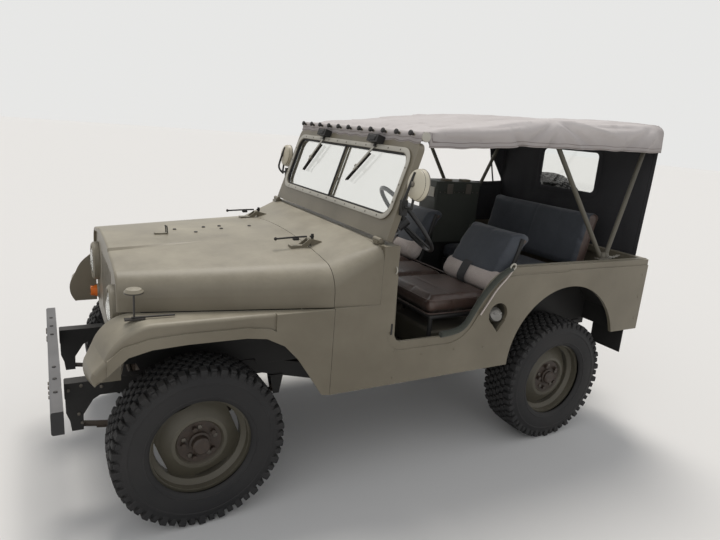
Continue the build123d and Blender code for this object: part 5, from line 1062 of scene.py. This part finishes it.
roof = begun(
    "canvas_top", bpy.ops.mesh.primitive_grid_add, x_subdivisions=176, y_subdivisions=128, size=1
)
hem = roof.data.attributes.new("hem", "FLOAT", "POINT")
wrap_length, wrap_turned, roof_length, tail_length = 0.085, 0.062, 1.700, 0.045
hem_width, hem_rise, seam_girth, flap_girth, tuck_radius = 0.027, 0.0012, 0.62, 0.70, 0.030
tube_radius, wrap_start, wrap_turn = 0.0228, math.radians(48), math.radians(158)
front_x, bow_x, hoop_x, rear_x = 0.187, -0.616, -1.455, -1.468
strip_edge, front_lap = 0.690, 0.10
bays = ((front_x, bow_x, 0.011), (bow_x, hoop_x, 0.013))
cut_vertices = set()
for vertex in roof.data.vertices:
    along = (0.5 - vertex.co.x) * (wrap_length + roof_length + tail_length) - wrap_length
    across = 2 * vertex.co.y
    if along < 0:
        place, normal, girth, whole = roof_place(front_x, across, 0.0)
        if girth > strip_edge + 0.004:
            cut_vertices.add(vertex.index)
        turn = min(-along / wrap_turned, 1.0) * wrap_turn + wrap_start
        ring = tube_axis + Vector((-math.cos(turn) * tube_radius, 0, math.sin(turn) * tube_radius))
        hook = 0.5 - 0.5 * math.cos(place.y / hook_pitch * math.tau)
        tail = max(-along - wrap_turned, 0.0)
        vertex.co = Vector((
            ring.x + 0.002 + tail * 0.3 - 0.0035 * hook * max(0, -along) / wrap_length,
            place.y * (1 + 0.035 * min(-along / 0.03, 1.0)),
            ring.z - tail + 0.007 * hook * max(0, -along) / wrap_length,
        ))
        edge = min(wrap_length + along, strip_edge - abs(place.y) + 0.01)
    else:
        x = front_x - along * (front_x - rear_x) / roof_length
        tail = max(along - roof_length, 0.0)
        x = max(x, rear_x)
        wave = 0.0012 * math.sin(x * 23.0 + 1.7 * across) + 0.001 * math.sin(x * 41.0 + 2.0)
        place, normal, girth, whole = roof_place(x, across, wave)
        near = min(along / front_lap, 1.0)
        near = near * near * (3 - 2 * near)
        if along < front_lap and girth < flap_girth:
            lift = tube_axis.z + tube_radius
            place.z = lift + (place.z - lift) * near
        for front, rear, depth in bays:
            if rear < x < front:
                belly = math.sin(math.pi * (front - x) / (front - rear))
                place += normal * (-depth * belly * (1.0 if girth < seam_girth else 0.45))
        hang = max(0.0, (girth - flap_girth) / max(whole - flap_girth, 0.001))
        place.y += math.copysign(
            hang * (0.002 + 0.003 * math.sin(x * 17.0 + 0.6) + 0.002 * math.sin(x * 37.0 + 2.2)),
            place.y,
        )
        shift = 0.0 if place.y > 0 else 0.045
        place += normal * crease_depth(x, girth, shift)
        grain = noise.fractal(place * 5.5 + ripple_seed, 0.8, 2.1, 4)
        place += normal * (0.0035 * grain)
        if tail > 0:
            angle = min(tail / tuck_radius, math.pi / 2 * 0.95)
            inward = Vector((0, -math.copysign(1, place.y) if girth > seam_girth else 0, 0))
            drop = Vector((0, 0, -1)) if girth < seam_girth else inward * 0.4
            place += Vector((-tuck_radius * math.sin(angle), 0, 0))
            place += drop * (tuck_radius * (1 - math.cos(angle)))
        vertex.co = place
        edge = min(whole - girth, roof_length + tail_length - along)
        if girth > strip_edge:
            edge = min(edge, along)
    hem.data[vertex.index].value = max(edge, 0.0)
    if edge < hem_width:
        vertex.co += normal * hem_rise
cut_away(roof, cut_vertices)
for loop_uv in roof.data.uv_layers.active.data:
    loop_uv.uv = (loop_uv.uv[0] * 1.83, loop_uv.uv[1] * 1.74)
thick = roof.modifiers.new("thick", "SOLIDIFY")
thick.thickness, thick.offset = 0.0022, -1.0
bpy.ops.object.modifier_apply(modifier="thick")
coated(roof, pale_canvas)
bpy.ops.object.shade_smooth()
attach(roof, "car")
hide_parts("canvas_roof")


# Rear curtain: canvas painted near black as shade, hung from the top and tied to the tub's rail
# below. Its upper right corner wraps forward round the rear hoop, a dark sheet of the same painted
# shade fills the gap behind the chest, and a clear pane is sewn behind a stitched binding.
curtain_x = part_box("rear_curtain")[0].x + 0.003
curtain_low, bend_z, round_z, curtain_head, cloth_wall = 1.066, 1.708, 1.780, 1.846, 0.0018
pane_centre, pane_size, pane_round = 1.545, (0.520, 0.290), 0.040


def curtain_half(z):
    """Half width of the rear curtain at a height, drawn in at its foot and its rounded head."""
    if z < bend_z:
        return 0.640 + 0.015 * (z - curtain_low) / (bend_z - curtain_low)
    if z < round_z:
        return 0.655
    return 0.655 - 0.065 * (z - round_z) / (curtain_head - round_z)


def hung_grid(name, columns, rows, place_of):
    """A hanging sheet from a grid; place_of gives a vertex its place and distance to the hem."""
    sheet = begun(
        name, bpy.ops.mesh.primitive_grid_add, x_subdivisions=columns, y_subdivisions=rows, size=1
    )
    hem = sheet.data.attributes.new("hem", "FLOAT", "POINT")
    for vertex in sheet.data.vertices:
        place, edge = place_of(vertex.co.x * 2, vertex.co.y + 0.5)
        vertex.co = place
        hem.data[vertex.index].value = max(edge, 0.0)
    return sheet


def finish_sheet(sheet, width, length, material):
    """Scales the sheet's UV map to metres and gives the cloth its thickness and material."""
    for loop_uv in sheet.data.uv_layers.active.data:
        loop_uv.uv = (loop_uv.uv[0] * width, loop_uv.uv[1] * length)
    thick = sheet.modifiers.new("thick", "SOLIDIFY")
    thick.thickness, thick.offset = cloth_wall, 0.0
    bpy.context.view_layer.objects.active = sheet
    bpy.ops.object.modifier_apply(modifier="thick")
    bpy.ops.object.shade_smooth()
    return coated(sheet, material)


def rear_curtain_place(across, share):
    z = curtain_low + share * (curtain_head - curtain_low)
    half = curtain_half(z)
    y = across * half
    loose = (1 - share) ** 1.3
    fold = math.sin(y * 19.0 + 0.8) * 0.6 + math.sin(y * 43.0 + 2.0) * 0.25
    flat = 1.0 if abs(y) > 0.32 or abs(z - pane_centre) > 0.20 else 0.2
    shift = flat * (0.007 * loose * fold + 0.004 * noise.noise(Vector((y * 4, z * 3, 2.2))))
    pinch = 0.004 * loose * math.cos(y * math.tau / 0.16)
    edge = min(half - abs(y), z - curtain_low, curtain_head - z)
    return Vector((curtain_x - 0.002 + shift, y, z - max(pinch, 0) * 0.8)), edge


curtain = hung_grid("curtain_sheet", 132, 78, rear_curtain_place)
pane_hole = set()
for vertex in curtain.data.vertices:
    y, z = abs(vertex.co.y), abs(vertex.co.z - pane_centre)
    past_y = max(y - pane_size[0] / 2 + pane_round, 0)
    past_z = max(z - pane_size[1] / 2 + pane_round, 0)
    if math.hypot(past_y, past_z) < pane_round - 0.006:
        pane_hole.add(vertex.index)
cut_away(curtain, pane_hole)
finish_sheet(curtain, 1.30, 0.765, shaded_canvas)
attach(curtain, "car")
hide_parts("rear_curtain")
upright_pane = Matrix.Translation((curtain_x, 0, 0))
binding_in, binding_width = 0.014, 0.034
bindings = [
    rounded_frame(
        "curtain_binding", pane_size[0] / 2 - binding_in,
        pane_centre - pane_size[1] / 2 + binding_in, pane_centre + pane_size[1] / 2 - binding_in,
        binding_width, pane_round - 0.010, out, 0.0022, 0.0008, shaded_canvas, upright_pane,
    )
    for out in (-0.0095, 0.0045)
]
binding = joined(bindings, "curtain_binding")
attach(binding, "car")
paint_nodes(clear_glass, "rear_window")


wing_low, wing_high, wing_reach, wing_bend = 1.385, 1.770, 0.150, 0.012
panel_x, panel_half, panel_low, panel_high = -1.277, 0.214, 1.078, 1.392


def wing_place(across, share):
    z = wing_low + share * (wing_high - wing_low)
    reach = wing_reach * min(max((z - 1.400) / 0.230, 0.02), 1.0)
    along = (across + 1) / 2 * (reach + wing_bend)
    bend = min(along, wing_bend) / wing_bend
    x = curtain_x - 0.003 + max(along - wing_bend, 0) + 0.010 * bend
    y = -(0.6485 + 0.006 * bend + 0.003 * math.sin(z * 21.0) * bend)
    return Vector((x, y, z)), reach - along


def shade_panel_place(across, share):
    top = panel_high - 0.010 * math.sin(math.pi * (across + 1) / 2)
    x, z = panel_x + across * panel_half, panel_low + share * (top - panel_low)
    fold = math.sin(x * 41.0) * 0.6 + math.sin(x * 83.0 + 1.0) * 0.3
    edge = min(panel_half * (1 - abs(across)), (top - panel_low) * min(share, 1 - share))
    return Vector((x, -0.650 + 0.006 * fold * (1 - 0.6 * share), z)), edge


wing = hung_grid("curtain_wing", 18, 44, wing_place)
cut_away(wing, set())
finish_sheet(wing, 0.162, 0.385, shaded_canvas)
# Painted shade: a dark sheet stands in the shaded gap behind the chest.
shade_panel = hung_grid("curtain_shade_panel", 64, 34, shade_panel_place)
cut_away(shade_panel, set())
finish_sheet(shade_panel, 0.44, 0.31, shaded_canvas)
strap = bent_rod(
    "curtain_strap",
    [(-1.330, -0.662, 1.690), (-1.372, -0.662, 1.500), (-1.430, -0.662, 1.300),
     (-1.478, -0.662, 1.085)],
    0.006, shaded_canvas,
)
curtain_ties = joined([strap], "curtain_ties")
for piece in (wing, shade_panel, curtain_ties):
    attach(piece, "car")


# Seats: sprung cushions in brown leathercloth and backs in grey canvas painted dark blue-grey as
# shade, each blown up by cloth simulation, with piped seams; a pale pad across the lower part of
# each front back is painted sunlight, and a dark band crosses it.
def grained_cloth(name, cloth, worn, crack, scale, rough, sheen, depth):
    """Leathercloth or proofed canvas: fine grain, fading in patches and dark creases."""
    material, tree, shader = new_material(name)
    place = object_place(tree)
    fade = clouded(tree, 4.5, 7.0, place, 0.65)
    tone = mixed(tree, ranged(tree, fade, (0.36, 0.66)), cloth, worn)
    grain = add_node(
        tree, "ShaderNodeTexVoronoi", {"Vector": place, "Scale": scale},
        feature="DISTANCE_TO_EDGE",
    ).outputs["Distance"]
    soft = bumped(tree, clouded(tree, 35.0, 5.0, place), 0.4, 0.003)
    set_inputs(tree, shader, {
        "Base Color": mixed(tree, ranged(tree, grain, (0.0, 0.12), (0.6, 0.0)), tone, crack),
        "Roughness": ranged(tree, fade, (0.0, 1.0), (rough - 0.1, rough + 0.12)),
        "Sheen Weight": sheen, "Normal": bumped(tree, grain, 0.5, depth, soft),
    })
    return material


brown_leather = grained_cloth(
    "brown_leathercloth", (0.060, 0.036, 0.028, 1), (0.105, 0.066, 0.052, 1),
    (0.022, 0.014, 0.011, 1), 320.0, 0.36, 0.05, 0.0006,
)
# Painted shade: the seat canvas is given the dark blue-grey it shows in shade, not its own grey.
shaded_seat_canvas = grained_cloth(
    "shaded_seat_canvas", (0.038, 0.044, 0.056, 1), (0.062, 0.070, 0.084, 1), (0.020, 0.023, 0.030, 1),
    700.0, 0.66, 0.12, 0.0004,
)
# Painted sunlight: on the front seat backs this pale cloth is the sunlit copy of the seat canvas;
# on the door it is a pale cord.
pale_and_painted_sun_cloth = grained_cloth(
    "pale_and_painted_sun_cloth", (0.500, 0.435, 0.400, 1), (0.600, 0.535, 0.495, 1), (0.260, 0.200, 0.170, 1),
    420.0, 0.60, 0.2, 0.0005,
)
# Near-black cloth for the dark band that crosses each pale pad.
dark_band_cloth = grained_cloth(
    "dark_band_cloth", (0.020, 0.020, 0.022, 1), (0.038, 0.037, 0.038, 1), (0.010, 0.010, 0.011, 1),
    600.0, 0.62, 0.1, 0.0004,
)


cloth_steps, inset_share, border_from = 16, 0.55, 0.935


def pad(name, size, corner, seams, puff, materials, place, bow=0.0):
    """A padded cover: a rounded box, remeshed, blown up by cloth, with its sewn channels after."""
    shell = block(name, [s - 2 * puff * inset_share for s in size], (0, 0, 0), corner, 5)
    bpy.ops.object.select_all(action="DESELECT")
    shell.select_set(True)
    bpy.context.view_layer.objects.active = shell
    voxels = shell.modifiers.new("voxels", "REMESH")
    voxels.mode, voxels.voxel_size = "VOXEL", 0.0072
    bpy.ops.object.modifier_apply(modifier="voxels")
    rest = [v.co.copy() for v in shell.data.vertices]
    cloth = shell.modifiers.new("cloth", "CLOTH")
    cloth.settings.quality = 4
    cloth.settings.tension_stiffness = cloth.settings.compression_stiffness = 12
    cloth.settings.shear_stiffness = 6
    cloth.settings.bending_stiffness = 0.6
    cloth.settings.use_pressure = True
    cloth.settings.uniform_pressure_force = 4.0
    cloth.settings.effector_weights.gravity = 0.0
    cloth.point_cache.frame_start, cloth.point_cache.frame_end = 1, cloth_steps
    for step in range(1, cloth_steps + 1):
        bpy.context.scene.frame_set(step)
    bpy.ops.object.modifier_apply(modifier="cloth")
    bpy.context.scene.frame_set(1)
    half = Vector(size) / 2
    for vertex, start in zip(shell.data.vertices, rest):
        move = vertex.co - start
        if move.length > puff:
            move *= puff / move.length
        spot = start + move
        crown = Vector((
            1 - min(1, abs(spot.y) / half.y) ** 2, 1 - min(1, abs(spot.x) / half.x) ** 2, 1
        ))
        lift = puff * inset_share * max(crown.x, 0) * max(crown.y, 0)
        spot.z += lift if start.z > half.z * 0.5 else 0
        for axis, level, reach, depth in seams:
            gap = abs(spot[axis] - level)
            if gap < reach:
                sink = depth * math.cos(math.pi / 2 * gap / reach) ** 2
                out = Vector((spot.x / half.x, spot.y / half.y, spot.z / half.z))
                out[axis] = 0
                face = max(range(3), key=lambda k: abs(out[k]))
                pull = Vector((0, 0, 0))
                pull[face] = math.copysign(sink, out[face])
                spot -= pull
        spot.z -= bow * (max(-spot.x, 0) / half.x) ** 2
        vertex.co = spot
    round_off = shell.modifiers.new("round_off", "SMOOTH")
    round_off.factor, round_off.iterations = 0.5, 3
    bpy.ops.object.modifier_apply(modifier="round_off")
    shell.data.materials.clear()
    for material in materials:
        shell.data.materials.append(material)
    if len(materials) > 1:
        for face in shell.data.polygons:
            face.material_index = 1 if abs(face.center.y) > half.y * border_from else 0
    shell.data.transform(place)
    bpy.ops.object.shade_smooth()
    return shell


def piping(name, size, corner, level, radius, material, place):
    """A round welt along the edge of a pad at one height."""
    hx, hy, points = size[0] / 2, size[1] / 2, []
    cut = corner * 0.29
    for sx, sy in ((1, 1), (-1, 1), (-1, -1), (1, -1)):
        start, end = (sx * hx, sy * (hy - corner)), (sx * (hx - corner), sy * hy)
        pair = [start, end] if sx * sy > 0 else [end, start]
        middle = (sx * (hx - cut), sy * (hy - cut))
        points += [pair[0], middle, pair[1]]
    welt = begun(name, bpy.ops.curve.primitive_bezier_circle_add)
    welt.data.splines.remove(welt.data.splines[0])
    path = welt.data.splines.new("NURBS")
    path.points.add(len(points) - 1)
    for point, (x, y) in zip(path.points, points):
        point.co = (x, y, level, 1)
    path.use_cyclic_u, path.order_u, path.resolution_u = True, 3, 8
    welt.data.bevel_depth, welt.data.bevel_resolution = radius, 3
    bpy.ops.object.convert(target="MESH")
    welt = coated(joined([bpy.context.object], name), material)
    welt.data.transform(place)
    bpy.ops.object.shade_smooth()
    return welt


def stood_up(foot, lean, height):
    """Where a seat back of this height lies: on its foot, leaning rearward by so many degrees."""
    return (
        Matrix.Translation(foot) @ Matrix.Rotation(math.radians(-lean), 4, "Y")
        @ Matrix.Translation((-0.046, 0, height / 2)) @ Matrix.Rotation(math.radians(90), 4, "Y")
    )


cushion_size, welt_size, welt_levels = (0.450, 0.468, 0.088), (0.440, 0.458), (-0.036, 0.034)
back_size, rear_back_size, seat_y = (0.386, 0.468, 0.092), (0.390, 0.940, 0.092), 0.402
covers, backs = [], []
for side, name in ((1, "left"), (-1, "right")):
    place = Matrix.Translation((-0.170, side * seat_y, 0.861))
    cushion = pad(
        f"seat_cushion_{name}", cushion_size, 0.032, [(0, 0.060, 0.012, 0.003)], 0.012,
        [brown_leather], place,
    )
    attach(cushion, "car")
    covers.append(cushion)
    welts = [
        piping(f"seat_welt_{name}", welt_size, 0.03, level, 0.0035, brown_leather, place)
        for level in welt_levels
    ]
    welt = joined(welts, f"seat_welt_{name}")
    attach(welt, "car")
    lie = stood_up((-0.340, side * seat_y, 0.922), 28, back_size[0])
    seat_back = pad(
        f"seat_back_{name}", back_size, 0.034, [(1, -side * 0.190, 0.006, 0.003)], 0.012,
        [shaded_seat_canvas, brown_leather], lie, 0.030,
    )
    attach(seat_back, "car")
    backs.append(seat_back)
    # Painted sunlight: a pale pad lies over the lower part of each front back where sun falls.
    sun_patch_place = lie @ Matrix.Translation((back_size[0] / 2 - 0.062, 0, 0.006))
    sun_patch = pad(
        f"seat_sun_patch_{name}", (0.138, 0.474, 0.112), 0.046, [(1, -side * 0.190, 0.006, 0.004)],
        0.007, [pale_and_painted_sun_cloth], sun_patch_place,
    )
    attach(sun_patch, "car")
    backs.append(sun_patch)
    # A dark band across the pale pad.
    strap = block(f"seat_dark_band_{name}", (0.148, 0.026, 0.1225), (0, 0, 0), 0.047, 6)
    strap.data.transform(sun_patch_place @ Matrix.Translation((0, -0.020, 0.001)))
    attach(coated(strap, dark_band_cloth), "car")
middle_cushion = pad(
    "seat_cushion_middle", (0.440, 0.330, 0.084), 0.022, [(0, 0.060, 0.012, 0.003)], 0.010,
    [brown_leather], Matrix.Translation((-0.172, 0, 0.860)),
)
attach(middle_cushion, "car")
rear_welt = bent_rod(
    "seat_rear_welt", [(-0.386, y * 0.1, 0.902) for y in range(-6, 7)], 0.0045, brown_leather
)
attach(rear_welt, "car")
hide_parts("seat_cushions")
rear_place = Matrix.Translation((-1.010, 0, 0.891))
rear_cushion = pad(
    "rear_cushion", (0.410, 0.924, 0.098), 0.024,
    [(1, 0.0, 0.012, 0.004), (0, 0.07, 0.012, 0.003)], 0.012, [shaded_seat_canvas, brown_leather],
    rear_place,
)
rear_back = pad(
    "rear_back", rear_back_size, 0.030, [(1, 0.0, 0.012, 0.004)], 0.012,
    [shaded_seat_canvas, brown_leather], stood_up((-1.173, 0, 0.950), 13, rear_back_size[0]),
)
for piece in (rear_cushion, rear_back):
    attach(piece, "car")
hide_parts("seat_backs")


# Stowage chest: a dark green steel box on the right wheelhouse with a pressed lid, two hinges with
# pads on the lid, a toggle catch beside a bare plate, and a row of rivets under the lid.
chest_paint = painted(
    "chest_paint", (0.018, 0.022, 0.017, 1), (0.034, 0.038, 0.030, 1), 0.48,
    dust=0.4, wear=0.45, wear_colour=(0.12, 0.12, 0.10, 1), dust_colour=(0.15, 0.145, 0.13, 1),
)
paint_nodes(chest_paint, "stowage_chest")
chest_low, chest_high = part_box("stowage_chest")
catch_z = 1.318
chest_parts = []
for name, size, place, bevel, segments, material in (
    ("chest_pad", (0.072, 0.052, 0.016), (-0.790, chest_high.y - 0.055, chest_high.z + 0.0075),
     0.004, 2, olive_paint),
    ("chest_hinge", (0.050, 0.004, 0.070), (-0.790, chest_high.y + 0.0015, chest_high.z - 0.050),
     0.0015, 1, worn_steel),
    ("chest_pad", (0.072, 0.052, 0.016), (-0.955, chest_high.y - 0.055, chest_high.z + 0.0075),
     0.004, 2, olive_paint),
    ("chest_hinge", (0.050, 0.004, 0.070), (-0.955, chest_high.y + 0.0015, chest_high.z - 0.050),
     0.0015, 1, worn_steel),
    ("chest_catch", (0.008, 0.034, 0.046), (chest_high.x + 0.002, -0.560, catch_z), 0.003, 2,
     worn_steel),
    ("chest_plate", (0.004, 0.090, 0.070), (chest_high.x + 0.001, -0.470, catch_z), 0.0015, 1,
     rim_paint),
):
    chest_parts.append(coated(block(name, size, place, bevel, segments), material))
rivets = [
    (chest_low.x + 0.030 + n * 0.0415, chest_high.y - 0.0002, chest_low.z + 0.358)
    for n in range(9)
]
chest_rivets = fasteners("chest_rivets", rivets, (0, 1, 0), 0.004, 0.003, 10, worn_steel)
chest_fittings = joined(chest_parts + [chest_rivets], "chest_fittings")
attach(chest_fittings, "car")


# Door opening and tub trim: a canvas-covered roll with a pale cord edges the rear of the left
# opening from a ring at its top. The fuel filler, a slot, a wire loop and screws are on the panels,
# and the hoops stand in sockets bolted to the tub's rail, the left one with a chain.
roll_cloth = canvas(
    "roll_canvas", (0.040, 0.044, 0.036, 1), (0.072, 0.076, 0.064, 1), (0.020, 0.021, 0.018, 1)
)
side_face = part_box("body_sides")[1].y
roll_line = [(-0.372, 1.074), (-0.325, 1.052), (-0.276, 1.012), (-0.228, 0.964), (-0.182, 0.908),
             (-0.142, 0.838), (-0.106, 0.783), (-0.058, 0.762), (0.000, 0.757), (0.040, 0.755)]
roll = bent_rod(
    "door_roll", [(x, side_face + 0.002, z) for x, z in roll_line], 0.0155, roll_cloth, 4
)
cord_line = [(-0.378, 1.066), (-0.352, 1.030), (-0.300, 0.985), (-0.262, 0.935), (-0.228, 0.880),
             (-0.196, 0.838)]
pale_cord = bent_rod(
    "door_cord",
    [(x, side_face + 0.006 + 0.003 * (n % 2), z) for n, (x, z) in enumerate(cord_line)],
    0.0042, pale_and_painted_sun_cloth, 4,
)


def ring_link(name, radius, thickness, steps, placing):
    """A round or stretched ring of pale wire."""
    link = begun(
        name, bpy.ops.mesh.primitive_torus_add, major_radius=radius, minor_radius=thickness,
        major_segments=steps[0], minor_segments=steps[1],
    )
    link.data.transform(placing)
    bpy.ops.object.shade_smooth()
    return coated(link, rim_paint)


ring_lean = Matrix.Rotation(math.radians(78), 4, "X")
ring = ring_link(
    "door_ring", 0.017, 0.0042, (36, 12),
    Matrix.Translation((-0.374, side_face + 0.010, 1.085)) @ ring_lean,
)
ring_plate = block(
    "door_ring_plate", (0.030, 0.006, 0.022), (-0.362, side_face + 0.004, 1.066), 0.002
)
door_trim = joined([roll, pale_cord, ring, coated(ring_plate, rim_paint)], "door_trim")
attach(door_trim, "car")

cap_metal = painted(
    "cap_metal", (0.190, 0.186, 0.176, 1), (0.260, 0.255, 0.242, 1), 0.45,
    dust=0.4, wear=0.5, wear_colour=(0.45, 0.44, 0.42, 1), metallic=0.5,
)
cap_outline = [(0.0, 0.010), (0.010, 0.0095), (0.024, 0.006), (0.032, -0.001), (0.0375, -0.004),
               (0.0385, -0.010), (0.0375, -0.020)]
cap_facing = Vector((0.08, 0.86, 0.50)).to_track_quat("Z", "Y").to_matrix().to_4x4()
filler_parts = [
    turned("filler_cap", [(0, r, up) for r, up in cap_outline], (0, 0, 0), (0, 0, 1), 40),
    block("filler_grip", (0.050, 0.008, 0.010), (0, 0, 0.011), 0.003, 2),
]
for piece in filler_parts:
    piece.data.transform(Matrix.Translation((-0.325, 0.722, 0.826)) @ cap_facing)
    coated(piece, cap_metal)
filler = joined(filler_parts, "filler_cap")
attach(filler, "car")

slot_plate = block("door_slot", (0.010, 0.003, 0.055), (0.331, side_face + 0.0005, 0.812), 0.001)
loop = bent_rod(
    "screen_loop",
    [(0.335, side_face - 0.006, 1.118), (0.337, side_face + 0.012, 1.112),
     (0.337, side_face + 0.012, 1.088), (0.335, side_face - 0.006, 1.082)], 0.003, rim_paint,
)
side_bolts = [
    (x, side_face, z) for x, z in (
        (0.300, 0.700), (0.300, 0.560), (-0.060, 0.665), (-0.250, 0.655), (0.140, 0.665),
        (-1.455, 0.700), (-1.455, 0.840), (-1.455, 0.980),
    )
]
tub_bolts = joined(
    [on_both_sides("tub_bolts", side_bolts, (0, 1, 0), 0.0065, 0.005, 12, olive_paint),
     coated(slot_plate, black_paint), loop],
    "tub_bolts",
)
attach(tub_bolts, "car")

hoop_xs, bracket_xs, hoop_y = (-1.126, -1.158), (-1.185, -1.099), 0.672
hoop_parts = []
for side in (1, -1):
    y = side * hoop_y
    for x in hoop_xs:
        hoop_parts.append(block("hoop_socket", (0.030, 0.034, 0.046), (x, y, 1.094), 0.004, 2))
    hoop_parts.append(block("hoop_bracket", (0.100, 0.046, 0.008), (-1.142, y, 1.080), 0.003, 1))
# The hoop sockets take the darker cabin copy of the olive paint, painted shade.
hoop_feet = coated(joined(hoop_parts, "hoop_feet"), shaded_cabin_paint)
hoop_bolts = joined(
    [on_both_sides("hoop_bolts", [(x, 0.689, 1.096) for x in hoop_xs], (0, 1, 0), 0.0065, 0.007,
                   6, worn_steel),
     on_both_sides("hoop_bolts", [(x, hoop_y, 1.0845) for x in bracket_xs], (0, 0, 1), 0.006,
                   0.006, 6, worn_steel)],
    "hoop_bolts",
)
chain_links, link_pitch, chain_sag = 9, 0.0125, 0.010
chain_parts = []
for n in range(chain_links):
    sag = chain_sag * math.sin(math.pi * n / (chain_links - 1))
    chain_parts.append(ring_link(
        "hoop_chain", 0.0075, 0.0017, (16, 8),
        Matrix.Translation((-1.185 - link_pitch * n, 0.668, 1.094 - sag))
        @ Matrix.Rotation(math.radians(90 * (n % 2) + 20), 4, "X")
        @ Matrix.Diagonal((1.25, 0.8, 1, 1)),
    ))
hoop_chain = joined(chain_parts, "hoop_chain")
for piece in (hoop_feet, hoop_bolts, hoop_chain):
    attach(piece, "car")


# Rear end: round lamps with a red glass in a black shell, black rubber flaps behind the wheels,
# and the steering wheel of hard black rubber on its dark column.
red_lens = lens_plastic("red_lens", (0.42, 0.012, 0.010, 1), (0.25, 0.006, 0.006, 1), 0.2)
paint_nodes(black_paint, "tail_lamps")
tail_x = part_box("tail_lamps")[0].x + 0.0105
glass_section = [
    (0, 0, 0.0375), (-0.004, 0, 0.0375), (-0.0085, 0, 0.030), (-0.011, 0, 0.016), (-0.012, 0, 0.0)
]
glasses = [
    turned("tail_lamp_glass", glass_section, (tail_x, side * 0.640, 0.715), (1, 0, 0), 36)
    for side in (1, -1)
]
tail_glass = coated(joined(glasses, "tail_lamp_glass"), red_lens)
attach(tail_glass, "car")
paint_nodes(rubber, "mud_flaps")
flap_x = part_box("mud_flaps")[0].x
flap_bolts = on_both_sides(
    "flap_bolts", [(flap_x, y, 0.615) for y in (0.54, 0.61, 0.68)], (-1, 0, 0), 0.007, 0.006, 6,
    worn_steel,
)
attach(flap_bolts, "car")
wheel_rubber = painted(
    "wheel_rubber", (0.014, 0.014, 0.015, 1), (0.024, 0.023, 0.023, 1), 0.34,
    dust=0.15, wear=0.3, wear_colour=(0.06, 0.055, 0.05, 1), dust_colour=(0.10, 0.095, 0.09, 1),
)
paint_nodes(wheel_rubber, "steering_wheel")
